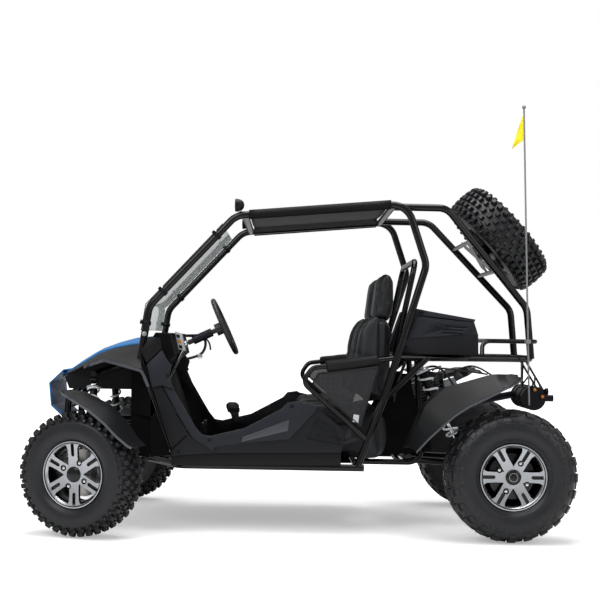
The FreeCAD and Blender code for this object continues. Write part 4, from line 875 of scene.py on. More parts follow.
def seat_back_outline():
    return [(512, 560), (640, 588), (630, 700), (612, 850), (592, 905), (560, 938), (530, 950), (508, 940),
        (504, 700)]


CUSHION_BOLSTER = [(610, 470), (885, 470), (900, 530), (880, 558), (760, 562), (640, 566)]
BACK_BOLSTER = [
    (556, 600), (672, 600), (668, 700), (654, 777), (644, 830), (634, 872), (619, 902), (599, 928),
    (568, 946), (546, 936), (540, 700)]


class BUGGY_OT_seats(bpy.types.Operator):
    """Two bucket seats with padded cushions, backs and head rests"""
    bl_idname = "buggy.seats"
    bl_label = "Seats"

    def execute(self, context):
        to_row = Matrix.Translation((X_REAR, 0.235, 0))
        cushion = seat_pad("cushion", [
            (500, 330), (900, 330), (936, 400), (940, 490), (912, 526), (800, 508), (690, 500), (520, 540)],
            190, 0.04, 0.9)
        back = seat_pad("back", seat_back_outline(), 188, 0.06, 0.88)
        head = seat_pad("head", [
            (500, 920), (566, 920), (554, 1010), (545, 1090), (534, 1130), (514, 1138), (494, 1130),
            (492, 1000)], 112, 0.03, 0.85)
        pads = [soft_pad(cushion), soft_pad(back), soft_pad(head)]
        for outline in (CUSHION_BOLSTER, BACK_BOLSTER):
            for side in (-1, 1):
                roll = seat_pad("bolster", outline, 33, 0.05, 0.86)
                pads.append(soft_pad(put(roll, Matrix.Translation((0, side * 0.165, 0)))))
        left = joined("seat_dressed_left", pads)
        paint(left, "seat_vinyl")
        put(left, to_row)
        right = mirrored(left, "seat_dressed_right")
        for piece, node in ((left, "seat_left"), (right, "seat_right")):
            dress(piece, "chassis", [node])
        return {"FINISHED"}


ROOF_START = Vector((X_FRONT - 0.659, 0.448, 1.3693))
ROOF_END = Vector((X_REAR + 0.510, 0.448, 1.422))


class BUGGY_OT_canopy(bpy.types.Operator):
    """Roof cloth stretched between the roof tubes and wrapped round them"""
    bl_idname = "buggy.canopy"
    bl_label = "Roof canopy"

    def execute(self, context):
        radius = 0.0215
        sag = context.scene.buggy_sizes.canopy_sag
        half = []
        for index in range(15):
            angle = math.radians(-150 + index * 18)
            half.append((ROOF_START.y + radius * math.sin(-angle), radius * math.cos(angle)))
        across = []
        for index in range(1, 8):
            share = index / 8
            y = ROOF_START.y * (1 - share)
            across.append((y, radius - sag * (1 - (1 - share) ** 2)))
        profile = half + across + [(0.0, radius - sag)]
        profile += [(-y, z) for y, z in (half + across)[::-1]]
        run = ROOF_END - ROOF_START
        points = [(ROOF_START.x, y, ROOF_START.z + z) for y, z in profile]
        piece = line_of("canopy_dressed", points)
        bpy.ops.mesh.select_all(action="SELECT")
        for index in range(14):
            bpy.ops.mesh.extrude_region_move(TRANSFORM_OT_translate={"value": run / 14})
        done(piece)
        all_in_edit(piece)
        bpy.ops.mesh.normals_make_consistent(inside=False)
        done(piece)
        paint(piece, "coated_polyester")
        apply_modifier(piece, "SOLIDIFY", thickness=0.0016, offset=0.0)
        only(piece)
        bpy.ops.object.shade_smooth()
        dress(piece, "chassis", ["roof_canopy"])
        return {"FINISHED"}


# Springs, pads, nets, lamps and fittings


SHOCKS = [
    ((906.0, 330.0, 641.7), (890.0, 470.0, 214.4), 30.0, (1, 0, 0), 34.0),
    ((-528.0, 260.0, 736.7), (-749.0, 260.0, 308.0), 34.0, (0, 1, 0), 24.0),
]


def spring(name, length, reach, wire):
    """A coil with flat ground ends, standing on +Y from the origin, in millimetres."""
    turns = bpy.context.scene.buggy_sizes.coil_turns
    steps = turns * 14
    points = []
    for index in range(steps + 1):
        share = index / steps
        rise = max(0.0, min(1.0, (share - 0.06) / 0.88))
        angle = turns * TURN * share
        points.append(((reach - wire) * math.cos(angle) * MM, (wire + rise * (length - 2 * wire)) * MM,
                       (reach - wire) * math.sin(angle) * MM))
    return pipe(name, points, wire, "spring_enamel", 3)


def shock(name, top, bottom, reach, eye_axis, eye_width):
    """A damper with its spring, collars, rod and eyes."""
    length = (Vector(bottom) - Vector(top)).length
    body = lathe(name, [
        (0.5, 26), (9, 26), (13, 30), (reach - 15, 33), (reach - 13, 36), (reach - 13, length * 0.55),
        (reach - 15, length * 0.56), (8.5, length * 0.57), (0.5, length * 0.57)], 40, "dark_steel", 40)
    shaft = lathe("shaft", [(0.5, length * 0.5), (7.5, length * 0.5), (7.5, length - 14), (0.5, length - 14)],
        32, "plated_steel", 40)
    seats = []
    for start in (29, length * 0.72):
        seats.append(lathe("seat", [
            (9, start), (reach + 1, start), (reach + 2, start + 1), (reach + 2, start + 4),
            (reach + 1, start + 5), (9, start + 5)], 48, "machined_alloy", 35))
    nut = lathe("nut", [(9, 20), (16, 20), (17, 21), (17, 28), (16, 29), (9, 29)], 6, "machined_alloy", 20)
    coil = spring("coil", length * 0.72 - 34, reach, 5)
    put(coil, Matrix.Translation((0, 34 * MM, 0)))
    whole = put(joined(name, [body, shaft, nut, coil] + seats), facing(top, Vector(bottom) - Vector(top)))
    eyes = []
    for point in (top, bottom):
        eye = lathe("eye", [
            (6.3, -eye_width / 2), (8, -eye_width / 2), (8.5, -eye_width / 2 + 2), (12, -eye_width / 2 + 3),
            (13, -eye_width / 2 + 4), (13, eye_width / 2 - 4), (12, eye_width / 2 - 3),
            (8.5, eye_width / 2 - 2),
            (8, eye_width / 2), (6.3, eye_width / 2)], 32, "dark_steel", 35)
        eyes.append(put(eye, facing(point, eye_axis)))
    return joined(name, [whole] + eyes)


class BUGGY_OT_springs(bpy.types.Operator):
    """Coil springs over dampers at all four wheels"""
    bl_idname = "buggy.springs"
    bl_label = "Springs"

    def execute(self, context):
        for end, values in zip(("front", "rear"), SHOCKS):
            left = shock("%s_shock_left" % end, *values)
            right = mirrored(left, "%s_shock_right" % end)
            dress(left, "chassis", ["shock_absorbers"] if end == "front" else [])
            dress(right, "chassis", [])
        return {"FINISHED"}


PAD_START = (-111.1, 487.9, 723.6)
PAD_END = (-334.3, 461.3, 752.1)
NET = [(-55, 648), (-78, 692), (-330, 722), (-262, 470)]


def arm_pad(name):
    """A foam sleeve with rolled ends, pinched a little where it is laced."""
    length = (Vector(PAD_END) - Vector(PAD_START)).length
    outer = [(11.6, 2), (17, 0), (21, 1.2), (23.6, 4.5), (24.8, 10)]
    for index in range(1, 12):
        share = index / 12
        outer.append((24.6 + 0.5 * math.sin(share * TURN * 3), 10 + share * (length - 20)))
    outer += [(24.8, length - 10), (23.6, length - 4.5), (21, length - 1.2), (17, length), (11.6, length - 2)]
    sleeve = lathe(name, outer, 48, "sleeve_foam", 60)
    select_points(sleeve, lambda p: p.z < 0 and abs(p.x) < 0.004 and Vector((p.x, 0, p.z)).length > 0.02)
    bpy.ops.transform.translate(value=(0, 0, 1.6 * MM))
    done(sleeve, 60)
    return put(sleeve, facing(PAD_START, Vector(PAD_END) - Vector(PAD_START)))


def net(name):
    """The mesh triangle of a side net."""
    mesh = line_of(name, [(x * MM, 0.488, z * MM) for x, z in NET + NET[:1]])
    merge_all()
    bpy.ops.mesh.edge_face_add()
    bpy.ops.mesh.inset(thickness=0.004)
    bpy.ops.mesh.poke()
    bpy.ops.mesh.subdivide(number_cuts=5)
    done(mesh)
    apply_modifier(mesh, "SOLIDIFY", thickness=0.0012, offset=0.0)
    return paint(mesh, "knitted_mesh")


class BUGGY_OT_pads(bpy.types.Operator):
    """Foam sleeves and mesh nets on the arm guards"""
    bl_idname = "buggy.pads"
    bl_label = "Pads and nets"

    def execute(self, context):
        left = arm_pad("arm_pad_left")
        right = mirrored(left, "arm_pad_right")
        dress(left, "chassis", ["arm_pads"])
        dress(right, "chassis", [])
        left = net("side_net_left")
        right = mirrored(left, "side_net_right")
        dress(left, "chassis", ["side_nets"])
        dress(right, "chassis", [])
        edges = []
        for (x0, z0), (x1, z1) in zip(NET, NET[1:] + NET[:1]):
            start, end = (x0 * MM, 0.488, z0 * MM), (x1 * MM, 0.488, z1 * MM)
            edges.append(rod("hem", start, end, 4.2, "polyester_webbing", 12))
        edges.append(plate("patch", [(-228, 488), (-252, 484), (-256, 516), (-232, 520)], 489, 491.5,
            "label_vinyl", 0.5))
        hems = joined("net_hem_left", edges)
        others = mirrored(hems, "net_hem_right")
        for piece in (hems, others):
            dress(piece, "chassis", [])
        return {"FINISHED"}


def lamp_dome(name, reach, depth, lens_finish):
    """A round lamp with its shell, bezel and domed lens, looking along +Y."""
    shell = lathe(name, [
        (0.5, -depth), (reach * 0.45, -depth * 0.93), (reach * 0.8, -depth * 0.66),
        (reach * 0.97, -depth * 0.25),
        (reach, 0), (reach, 4), (reach - 2, 6), (reach - 4, 5), (reach - 4, -2), (0.5, -2)], 48,
        "moulded_polypropylene", 40)
    bowl = lathe("bowl", [(0.5, -1.5), (reach * 0.5, -1), (reach - 4, 1.5), (reach - 4, 0.5), (0.5, -1.9)],
        40, "plated_steel", 50)
    lens = lathe("lens", [(0.5, 8), (reach * 0.5, 7), (reach - 4, 4), (reach - 4, 2.5), (0.5, 6)], 48,
        lens_finish, 50)
    return joined(name, [shell, bowl, lens])


class BUGGY_OT_lamps(bpy.types.Operator):
    """Head lamps, roof lamps and amber tail indicators"""
    bl_idname = "buggy.lamps"
    bl_label = "Lamps"

    def execute(self, context):
        wedge = [(976, 678), (1038, 653), (1060, 627), (976, 628)]
        shell = plate("head_lamp_left", wedge, 110, 214, "lens_glass", 4)
        bowl = plate("bowl", [(980, 672), (1026, 652), (1042, 634), (980, 634)], 116, 206, "plated_steel", 6)
        back = plate("back", [(974, 680), (984, 677), (984, 627), (974, 627)], 108, 215,
            "moulded_polypropylene", 2)
        roof = put(lamp_dome("roof_lamp_left", 28, 34, "lens_glass"), facing((286, 444, 1411), (1, 0, 0)))
        stem = rod("stem", (0.272, 0.444, 1.3823), (0.272, 0.444, 1.392), 8, "plated_steel")
        nut = bolt((272, 444, 1383), (0, 0, 1), 9)
        tail = put(lamp_dome("tail_lamp_left", 18, 14, "amber_acrylic"), facing((-1142, 70, 612), (-1, 0, 0)))
        sides = [put(lamp_dome("side_lamp", 12, 12, "amber_acrylic"), facing(place, (0, 1, 0)))
                 for place in ((-1066, 176, 626), (-1107, 150, 593))]
        sides.append(rod("stem", (-1.0870, 0.070, 0.6825), (-1.066, 0.168, 0.626), 4, "powder_coated_steel",
            16))
        sides.append(rod("stem", (-1.1070, 0.070, 0.6500), (-1.107, 0.142, 0.593), 4, "powder_coated_steel",
            16))
        bar = rod("bar", (-1.0452, 0.070, 0.7505), (-1.1275, 0.070, 0.6165), 5, "powder_coated_steel", 16)
        left = joined("lamps_left", [shell, bowl, back, roof, stem, nut, tail, bar] + sides)
        right = mirrored(left, "lamps_right")
        dress(left, "chassis", ["lamps"])
        dress(right, "chassis", [])
        return {"FINISHED"}


POLE_FOOT = Vector((-1.023, 0.277, 0.560))
POLE_TOP = Vector((-0.978, 0.277, 1.885))


class BUGGY_OT_flag(bpy.types.Operator):
    """Pennant hanging from the whip pole"""
    bl_idname = "buggy.flag"
    bl_label = "Flag"

    def execute(self, context):
        up = (POLE_TOP - POLE_FOOT).normalized()
        top = POLE_TOP - up * 0.028
        low = POLE_TOP - up * 0.146
        tip = low - up * 0.042 + Vector((0.054, 0, 0))
        rows = 12
        columns = 8
        piece = line_of("pennant", [top.lerp(low, index / rows) for index in range(rows + 1)])
        bpy.ops.mesh.select_all(action="SELECT")
        for column in range(columns):
            bpy.ops.mesh.extrude_region_move(TRANSFORM_OT_translate={"value": (0, 0, 0)})
            share = (column + 1) / columns
            done(piece)
            count = len(piece.data.vertices)
            for index in range(rows + 1):
                point = piece.data.vertices[count - rows - 1 + index]
                edge = top.lerp(low, index / rows)
                sway = 0.006 * math.sin(share * 7 + index * 0.5) * share
                point.co = edge.lerp(tip, share * 0.96) + Vector((0.0045, sway, 0))
            bpy.ops.object.mode_set(mode="EDIT")
        done(piece)
        all_in_edit(piece)
        bpy.ops.mesh.remove_doubles(threshold=0.0002)
        done(piece)
        apply_modifier(piece, "SOLIDIFY", thickness=0.0008, offset=0.0)
        apply_modifier(piece, "SUBSURF", levels=1)
        paint(piece, "pennant_nylon")
        only(piece)
        bpy.ops.object.shade_smooth()
        dress(piece, "chassis", ["flag"])
        return {"FINISHED"}


def pillar_point(share, leg):
    """A point along the left pillar's lower or upper leg, in millimetres."""
    foot, knee, roof = Vector((690, 448, 740)), Vector((654, 448, 970)), Vector((287, 448, 1366))
    return foot.lerp(knee, share) if leg == 0 else knee.lerp(roof, share)


def clamp(name, middle, along, reach):
    """A two-part tube clamp with its bolt."""
    ring = lathe(name, [(reach + 0.2, -9), (reach + 3.4, -9), (reach + 4, -8), (reach + 4, 8),
        (reach + 3.4, 9), (reach + 0.2, 9)], 40, "dark_steel", 35)
    ear = block("ear", (12, 16, 16), (reach + 7, 0, 0), (0, 0, 0), 0.9, 1.5)
    paint(ear, "dark_steel")
    screw = bolt((reach + 7, 8, 0), (0, 1, 0), 5)
    whole = joined(name, [ring, ear, screw])
    return put(whole, facing(middle, along))


class BUGGY_OT_fittings(bpy.types.Operator):
    """Screen clamps, bolts, engine fins, hoses and cables"""
    bl_idname = "buggy.fittings"
    bl_label = "Fittings"

    def execute(self, context):
        pieces = []
        for leg, share in ((0, 0.68), (1, 0.16), (1, 0.78)):
            along = pillar_point(1, leg) - pillar_point(0, leg)
            pieces.append(clamp("clamp", pillar_point(share, leg), along, 16))
        pieces.append(bolt((673, 463.5, 850), (0, 1, 0), 7))
        for place in ((-521, 431.7, 960), (-460, 431.7, 800)):
            pieces.append(bolt(place, (0, 1, 0), 6, "dark_steel"))
        left = joined("fittings_left", pieces)
        right = mirrored(left, "fittings_right")
        for piece in (left, right):
            dress(piece, "chassis", [])
        lean = Matrix.Translation((-0.598, 0.0, 0.560)) @ Matrix.Rotation(math.radians(16), 4, "Y")
        fins = []
        for index in range(8):
            fin = block("fin", (138, 132, 4), (0, 0, index * 14), (0, 0, 0), 0.98, 1.5)
            fins.append(paint(fin, "machined_alloy"))
        cover = block("cover", (104, 96, 34), (0, 0, 128), (0, 0, 0), 0.86, 4)
        paint(cover, "cast_alloy")
        barrel = put(joined("engine_fins", fins + [cover]), lean)
        dress(barrel, "chassis", [])
        runs = [
            ([(-0.56, 0.06, 0.70), (-0.60, 0.16, 0.735), (-0.66, 0.20, 0.70), (-0.70, 0.16, 0.64)], 5),
            ([(-0.50, 0.10, 0.66), (-0.58, 0.19, 0.72), (-0.72, 0.17, 0.71), (-0.86, 0.12, 0.69)], 4),
            ([(-0.47, 0.14, 0.60), (-0.50, 0.22, 0.69), (-0.55, 0.24, 0.74)], 6),
            ([(-0.62, 0.02, 0.70), (-0.66, 0.10, 0.74), (-0.62, 0.18, 0.68), (-0.56, 0.16, 0.60)], 3),
            ([(-0.45, 0.12, 0.50), (-0.42, 0.20, 0.55), (-0.44, 0.24, 0.66), (-0.47, 0.26, 0.74)], 7),
            ([(-0.68, -0.06, 0.66), (-0.76, 0.04, 0.73), (-0.84, 0.10, 0.72), (-0.92, 0.08, 0.66)], 4),
        ]
        hoses = [pipe("hose", points, reach, "soft_grip_pvc") for points, reach in runs]
        carburettor = block("carburettor", (70, 52, 60), (-700, 20, 640), (0, 0.3, 0), 0.8, 4)
        paint(carburettor, "cast_alloy")
        coil = rod("ignition_coil", (-0.76, 0.02, 0.70), (-0.76, 0.09, 0.70), 19, "moulded_polypropylene")
        starter = rod("starter", (-0.50, 0.128, 0.52), (-0.50, 0.20, 0.52), 26, "dark_steel")
        bay = plate("bay", [
            (-293, 300), (-330, 480), (-400, 620), (-440, 690), (-498, 690), (-515, 600), (-545, 520),
            (-590, 420), (-600, 340), (-400, 322)], 198, 202, "textured_powder_coat", 0)
        dressing = joined("engine_dressing", hoses + [carburettor, coil, starter, bay,
            mirrored(bay, "bay_right")])
        lever = pipe("lever", [(0.509, 0.235, 0.740), (0.447, 0.235, 0.752), (0.420, 0.235, 0.796),
                               (0.428, 0.235, 0.842), (0.482, 0.235, 0.841)], 6, "powder_coated_steel")
        stalk = pipe("stalk", [(0.430, 0.238, 0.835), (0.402, 0.244, 0.826), (0.400, 0.246, 0.782)], 4,
                     "soft_grip_pvc")
        knob = rod("knob", (0.447, 0.222, 0.752), (0.447, 0.250, 0.752), 11, "plated_steel")
        box = plate("switches", [(556, 862), (524, 852), (508, 776), (538, 784)], 262, 300, "label_vinyl", 2)
        keys = [plate("key", [(x + 9, z), (x - 6, z - 3), (x - 9, z - 17), (x + 6, z - 14)], 298, 303, kind,
            1)
                for x, z, kind in ((541, 850, "moulded_polypropylene"), (534, 826, "amber_acrylic"),
                                   (529, 803, "moulded_polypropylene"))]
        brake = plate("hand_brake", [
            (339, 526), (327, 538), (290, 538), (276, 524), (278, 482), (270, 440), (306, 440), (314, 481),
            (335, 505)], -16, 16, "soft_grip_pvc", 8)
        cockpit = joined("cockpit_dressing", [lever, stalk, knob, box] + keys + [brake])
        dress(cockpit, "chassis", [])
        dress(dressing, "chassis", [])
        return {"FINISHED"}


def rear_cover(name):
    """The faceted rear cover with its three slash vents, its face and top strip lighter as a painted sheen.
    """
    outline = [(-435, 780.5), (-502, 978), (-753, 932), (-774, 868), (-774, 780.5)]
    piece = plate(name, outline, 320, 431.7, "moulded_abs", 0)
    creased(piece, (-495, 941), (-746, 924))
    creased(piece, (-451, 843), (-715, 865))
    creased(piece, (-715, 865), (-763, 940))
    outer = 431.5 * MM
    drawn_in(piece, lambda p: p.y > outer and p.z < 0.79, -22)
    drawn_in(piece,
        lambda p: p.y > outer and p.x > -0.76 and p.z > 0.931 and p.z > 0.943 - (p.x + 0.495) * 0.05, -12)
    drawn_in(piece, lambda p: p.y > outer - 0.015 and p.x < -0.75, -38)
    tools = []
    for step in range(3):
        x, z = -645 + 17 * step, 905 - 13 * step
        tools.append(plate("slash", [(x, z), (x - 80, z - 4), (x - 95, z - 11), (x - 10, z - 6)], 396, 440,
                           "moulded_abs", 0))
    cut_out(piece, tools)
    apply_modifier(piece, "BEVEL", width=1.6 * MM, segments=2, limit_method="ANGLE")
    outward(piece)
    paint(piece, "moulded_abs")
    done(piece, 25)
    # The face and the top strip are in a lighter plastic: a painted sheen on the facets.
    face = plate("face", [(-499, 944), (-751, 921), (-713, 869), (-461, 846)], 424, 436, "textured_abs", 3)
    slots = []
    for step in range(3):
        x, z = -628 + 8 * step, 905 - 13 * step
        slots.append(plate("slash", [(x, z), (x - 92, z - 5), (x - 84, z - 10), (x + 4, z - 5)], 430, 440,
                           "moulded_abs", 0))
    cut_out(face, slots)
    paint(face, "textured_abs")
    strip = plate("strip", [(-506, 976), (-755, 935), (-752, 925), (-500, 950)], 416, 434, "textured_abs",
        1.5)
    leaned(strip, lambda p: p.y > 0.43, 925, 0.25)
    return joined(name, [piece, outward(face), strip])


HOOD_MIDDLE = [(1071, 668), (1000, 718), (940, 757), (893, 782), (820, 810), (746, 831), (690, 836)]
HOOD_EDGE = [(160, 661), (180, 703), (200, 739), (220, 768), (240, 790), (260, 806), (270, 812)]


def hood(name):
    """The crowned hood, arched across between its two edges."""
    rows = []
    for step in range(-6, 7):
        share = step / 6
        row = []
        for (x, top), (y, low) in zip(HOOD_MIDDLE, HOOD_EDGE):
            row.append((x, y * share, top - (top - low) * abs(share) ** 2.4))
        rows.append(row)
    edge = [(x, y + 4, low - 12) for (x, top), (y, low) in zip(HOOD_MIDDLE, HOOD_EDGE)]
    rows = [[(x, -y, z) for x, y, z in edge]] + rows + [edge]
    return lofted(name, rows, 25, 4, "clear_coated_paint", 35)


SHELL_TOP = [
    (1060, 163, 660), (1000, 182, 698), (940, 202, 733), (885, 224, 763), (830, 240, 782), (746, 262, 800),
    (690, 272, 806)]
SHELL_MIDDLE = [
    (1060, 190, 660), (1000, 230, 694), (940, 268, 727), (885, 333, 757), (835, 362, 765), (746, 390, 768),
    (690, 440, 762)]
SHELL_LIP = [
    (1058, 218, 655), (1005, 270, 680), (950, 335, 706), (877, 430, 730), (837, 500, 741), (764, 520, 723),
    (676, 520, 699)]


def shoulder_shell(name):
    """The shell from the hood's edge out over the front wheel, with its lip lighter as a painted highlight.
    """
    skin = lofted(name, [SHELL_TOP, SHELL_MIDDLE, SHELL_LIP], 25, 3, "moulded_polypropylene", 45)
    edge = SHELL_LIP[2:] + [(657, 521, 668), (640, 521, 626)]
    low = [(x, y, z - 14) for x, y, z in edge[:-2]] + [(670, 521, 664), (652, 521, 624)]
    # The lip is a lighter grey: a painted highlight along the turned edge.
    lip = lofted("lip", [edge, low], 25, 4, "lip_polypropylene", 45)
    foot = plate("foot", [(682, 780), (657, 725), (593, 786), (600, 831), (642, 836)], 488, 502,
                 "moulded_polypropylene", 2)
    liner = plate("liner", [(1050, 652), (1000, 690), (880, 752), (700, 790), (700, 600), (1030, 600)], 236,
        240, "moulded_polypropylene", 0)
    wall = lofted("wall", [
        [(556, 448, 330), (566, 448, 600)], [(640, 446, 320), (640, 446, 660)],
        [(735, 372, 320), (735, 372, 690)]],
        3, 3, "textured_powder_coat", 20)
    return joined(name, [skin, lip, foot, liner, wall])


PANEL = [
    (591, 782), (655, 718), (626, 619), (601, 538), (541, 359), (536, 331), (362, 345), (-180, 356),
    (-197, 449),
    (-91, 532), (-70, 553), (-7, 566), (3, 573), (52, 566), (75, 540), (235, 453), (379, 418), (417, 424),
    (447, 461), (538, 615), (561, 668), (549, 716), (566, 737)]
PANEL_LEG = [(591, 782), (655, 718), (628, 622), (588, 632), (538, 615), (561, 668), (549, 716), (566, 737)]
PANEL_BAND = [
    (584, 628), (527, 525), (481, 449), (455, 412), (362, 353), (361, 372), (234, 392), (44, 411), (4, 453),
    (-69, 533), (-70, 553), (-7, 566), (3, 573), (52, 566), (75, 540), (235, 453), (379, 418), (417, 424),
    (447, 461), (538, 613)]


def side_panel(name):
    """The side panel: a flat base, raised facets that lean in and are lighter as a painted sheen, dark strips
    of painted shade along their creases, a blank label, a vent and its screws.
    """
    base = plate(name, PANEL, 496, 509, "moulded_abs", 1.5)
    cut_out(base, [plate("recess", [(-73, 508), (-33, 413), (-179, 386), (-150, 462)], 503, 520,
        "moulded_abs", 0)])
    outward(base)
    done(base, 30)
    # The raised facets are in a lighter plastic: a painted sheen.
    leg = plate("leg", PANEL_LEG, 500, 523, "textured_abs", 2)
    leaned(leg, lambda p: p.y > 0.515, 620, 0.08)
    band = plate("band", PANEL_BAND, 500, 523, "textured_abs", 2)
    leaned(band, lambda p: p.y > 0.515, 400, 0.05)
    label = plate("label", [(246, 396), (240, 417), (44, 494), (48, 447)], 505, 525, "label_grey", 1)
    leaned(label, lambda p: p.y > 0.515, 400, 0.05)
    sill = plate("sill", [(540, 345), (-180, 360), (-180, 300), (545, 290)], 496, 502,
        "moulded_polypropylene", 1)
    pieces = [base, leg, band, label, sill]
    # Dark strips along the edges of the raised facets: painted shade in the creases.
    for start, end in (((588, 629), (527, 525)), ((525, 513), (481, 449)), ((481, 441), (455, 412)),
                       ((481, 418), (540, 361))):
        run = (Vector(end) - Vector(start)).normalized() * 3.5
        side = (-run.y, run.x)
        quad = [(start[0] + side[0], start[1] + side[1]), (start[0] - side[0], start[1] - side[1]),
                (end[0] - side[0], end[1] - side[1]), (end[0] + side[0], end[1] + side[1])]
        pieces.append(plate("groove", quad, 505, 510, "textured_powder_coat", 0))
    for step in range(3):
        x, z = -66 - 6 * step, 486 - 26 * step
        pieces.append(plate("louvre", [(x, z), (x - 84, z - 16), (x - 84, z - 22), (x, z - 6)], 502, 508,
                            "moulded_abs", 0.6))
    for x, z, y in ((562, 673, 518), (512, 348, 508), (381, 402, 522), (33, 552, 515), (-170, 413, 508)):
        pieces.append(bolt((x, y, z), (0, 1, 0), 5.5, "dark_steel"))
    return joined(name, pieces)


FRONT_GUARD = [
    [(135, 335), (91, 344), (19, 337), (-37, 313), (-76, 297), (-123, 274), (-197, 200), (-228, 157),
    (-266, 124)],
    [(100, 343), (60, 347), (0, 335), (-60, 306), (-110, 278), (-160, 238), (-215, 177), (-245, 140),
    (-272, 122)], [(43, 340), (-18, 308), (-88, 273), (-160, 222), (-213, 174), (-266, 136), (-285, 128)],
    [(43, 330), (-18, 298), (-85, 263), (-156, 213), (-208, 166), (-262, 128), (-281, 120)]]
FRONT_GUARD_ACROSS = (-60, 30, 95, 98)


def front_mudguard(name):
    """A swept guard in its wheel's own place, with a rolled edge lighter as a painted highlight."""
    rows = [[(t, y, z) for t, z in row] for row, y in zip(FRONT_GUARD, FRONT_GUARD_ACROSS)]
    skin = lofted(name, rows[:3], 21, 3.5, "moulded_polypropylene", 50)
    # The rolled edge is a lighter grey: a painted highlight along the guard.
    lip = lofted("lip", rows[2:], 21, 4, "lip_polypropylene", 50)
    return joined(name, [skin, lip])


REAR_GUARD_LIP = [
    (-920, 677, 692), (-885, 677, 668), (-838, 677, 646), (-779, 677, 614), (-703, 677, 577),
    (-644, 677, 538), (-590, 677, 491), (-535, 677, 439), (-484, 677, 383)]
REAR_GUARD_CREST = [
    (-935, 600, 690), (-907, 600, 706), (-800, 600, 702), (-757, 600, 689), (-680, 600, 666),
    (-616, 600, 648), (-578, 600, 617), (-526, 600, 565), (-500, 600, 496), (-458, 600, 393)]


def rear_guard(name):
    """The rear guard: a crest, a lower outer edge with a lip lighter as a painted highlight, and an inner
    edge.
    """
    inner = [(x + 6, 440, z - 14) for x, y, z in REAR_GUARD_CREST]
    low = [(x, y + 2, z - 10) for x, y, z in REAR_GUARD_LIP]
    skin = lofted(name, [inner, REAR_GUARD_CREST, REAR_GUARD_LIP], 25, 4, "moulded_polypropylene", 35)
    # The lip is a lighter grey: a painted highlight along the lower edge.
    lip = lofted("lip", [REAR_GUARD_LIP, low], 25, 4, "lip_polypropylene", 50)
    return joined(name, [skin, lip])


class BUGGY_OT_panels(bpy.types.Operator):
    """Rear covers, side panels, hood, shoulder shells and mudguards"""
    bl_idname = "buggy.panels"
    bl_label = "Panels"

    def execute(self, context):
        pairs = (
            (rear_cover, "rear_cover_dressed", "panel_black", "rear_covers"),
            (side_panel, "side_panel_dressed", "panel_black", "side_panels"),
            (shoulder_shell, "shoulder_shell_dressed", "panel_black", "shoulder_shells"),
            (rear_guard, "rear_guard_dressed", "fender_black", "rear_mudguards"),
        )
        for make, name, kind, node in pairs:
            left = make(name + "_left")
            right = mirrored(left, name + "_right")
            dress(left, "chassis", [node])
            dress(right, "chassis", [])
        dress(hood("hood_dressed"), "chassis", ["hood"])
        guard = front_mudguard("front_guard_dressed_left")
        other = copy_of(guard, "front_guard_dressed_right")
        put(guard, wheel_place("front_tyre_left", 1, STEER))
        put(other, wheel_place("front_tyre_right", -1, STEER))
        dress(guard, "knuckle_left", ["front_mudguard_left"])
        dress(other, "knuckle_right", ["front_mudguard_right"])
        return {"FINISHED"}


# Light, floor and camera


def paper_finish():
    """Matt white backdrop paper that the camera sees as white where it is fully lit."""
    material, tree, shader = start_finish("matt_white_paper", "#f6f6f6", 0.9, specular_ior_level=0.1)
    ray = add_node(tree, "ShaderNodeLightPath", {})
    place = add_node(tree, "ShaderNodeTexCoord", {}).outputs["Object"]
    reach = add_node(tree, "ShaderNodeVectorMath", {0: place}, operation="LENGTH").outputs["Value"]
    rise = add_node(tree, "ShaderNodeMapRange", {
        "Value": reach, "From Min": 1.6, "From Max": 4.0, "To Min": 0.36, "To Max": 1.0})
    glow = add_node(tree, "ShaderNodeMath", {0: ray.outputs["Is Camera Ray"], 1: rise.outputs["Result"]},
                    operation="MULTIPLY")
    shader.inputs["Emission Color"].default_value = (1, 1, 1, 1)
    tree.links.new(glow.outputs[0], shader.inputs["Emission Strength"])
    return material


# The fitted camera: its place in metres and its roll in radians.
EYE_PLACE = (0.0583, 5.923, 0.8509)
EYE_ROLL = 0.0166


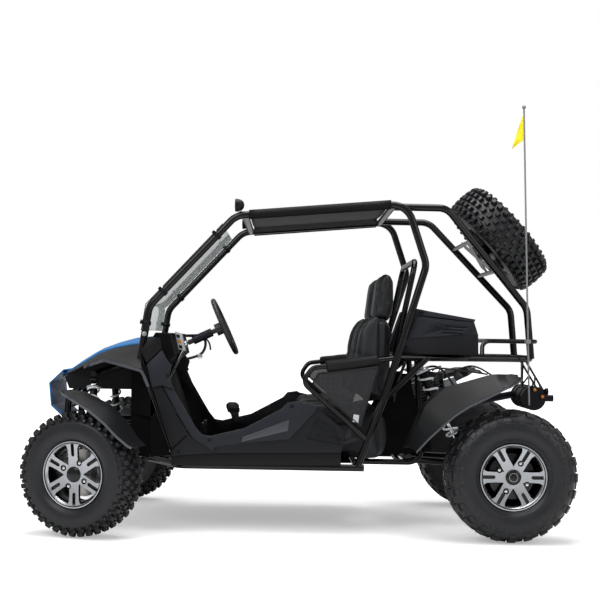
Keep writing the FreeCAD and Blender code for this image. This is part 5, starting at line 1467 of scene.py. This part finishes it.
class BUGGY_OT_stage(bpy.types.Operator):
    """Pale floor, soft studio light and the camera at the photograph's angle"""
    bl_idname = "buggy.stage"
    bl_label = "Stage"

    def execute(self, context):
        context.scene.view_settings.view_transform = "Standard"
        deselect()
        bpy.ops.mesh.primitive_plane_add(size=60, location=(0, 0, 0))
        floor = new_piece("studio_floor")
        floor.data.materials.append(paper_finish())
        world = bpy.data.worlds.new("studio")
        context.scene.world = world
        world.use_nodes = True
        tree = world.node_tree
        ray = add_node(tree, "ShaderNodeLightPath", {})
        seen = add_node(tree, "ShaderNodeMath", {
            0: ray.outputs["Is Camera Ray"], 1: ray.outputs["Is Transmission Ray"]},
            operation="MAXIMUM").outputs[0]
        level = add_node(tree, "ShaderNodeMapRange", {"Value": seen, "To Min": 0.42, "To Max": 1.0})
        sky = tree.nodes["Background"]
        sky.inputs["Color"].default_value = (1, 1, 1, 1)
        tree.links.new(level.outputs["Result"], sky.inputs["Strength"])
        for name, place, size, power in (
            ("key_softbox", (2.4, 3.6, 3.8), 2.6, 90), ("top_softbox", (0.0, 0.2, 4.4), 3.4, 190),
            ("fill_softbox", (-4.0, 3.2, 2.4), 2.4, 40),
        ):
            lamp = bpy.data.lights.new(name, "AREA")
            lamp.energy = power
            lamp.size = size
            holder = bpy.data.objects.new(name, lamp)
            context.scene.collection.objects.link(holder)
            holder.location = place
            aim = Vector((0, 0, 0.7)) - Vector(place)
            holder.rotation_euler = aim.to_track_quat("-Z", "Y").to_euler()
        camera = bpy.data.cameras.new("photo_camera")
        camera.lens = 76.17
        camera.sensor_width = 36.0
        camera.shift_x = 0.02145
        camera.shift_y = 0.0597
        camera.clip_end = 100
        eye = bpy.data.objects.new("photo_camera", camera)
        context.scene.collection.objects.link(eye)
        look = Matrix.Rotation(math.pi, 4, "Z") @ Matrix.Rotation(math.pi / 2, 4, "X")
        eye.matrix_world = Matrix.Translation(EYE_PLACE) @ look @ Matrix.Rotation(EYE_ROLL, 4, "Z")
        context.scene.camera = eye
        return {"FINISHED"}


OPERATORS = [
    BUGGY_OT_stage, BUGGY_OT_finishes, BUGGY_OT_wheels, BUGGY_OT_seats, BUGGY_OT_canopy, BUGGY_OT_springs,
    BUGGY_OT_pads, BUGGY_OT_lamps, BUGGY_OT_flag, BUGGY_OT_fittings, BUGGY_OT_panels,
]


class BUGGY_PT_panel(bpy.types.Panel):
    """Lists the buggy's steps, sizes and colours"""
    bl_idname = "BUGGY_PT_panel"
    bl_label = "Buggy"
    bl_space_type = "VIEW_3D"
    bl_region_type = "UI"
    bl_category = "Buggy"

    def draw(self, context):
        for step in OPERATORS:
            self.layout.operator(step.bl_idname)
        for group in (context.scene.buggy_sizes, context.scene.buggy_colours):
            for name in group.__annotations__:
                self.layout.prop(group, name)


CLASSES = [BUGGY_PG_sizes, BUGGY_PG_colours] + OPERATORS + [BUGGY_PT_panel]


def register():
    for each in CLASSES:
        bpy.utils.register_class(each)
    bpy.types.Scene.buggy_sizes = bpy.props.PointerProperty(type=BUGGY_PG_sizes)
    bpy.types.Scene.buggy_colours = bpy.props.PointerProperty(type=BUGGY_PG_colours)


def unregister():
    del bpy.types.Scene.buggy_colours
    del bpy.types.Scene.buggy_sizes
    for each in reversed(CLASSES):
        bpy.utils.unregister_class(each)


def main():
    register()
    for step in OPERATORS:
        group, name = step.bl_idname.split(".")
        getattr(getattr(bpy.ops, group), name)()


if __name__ == "__main__":
    main()
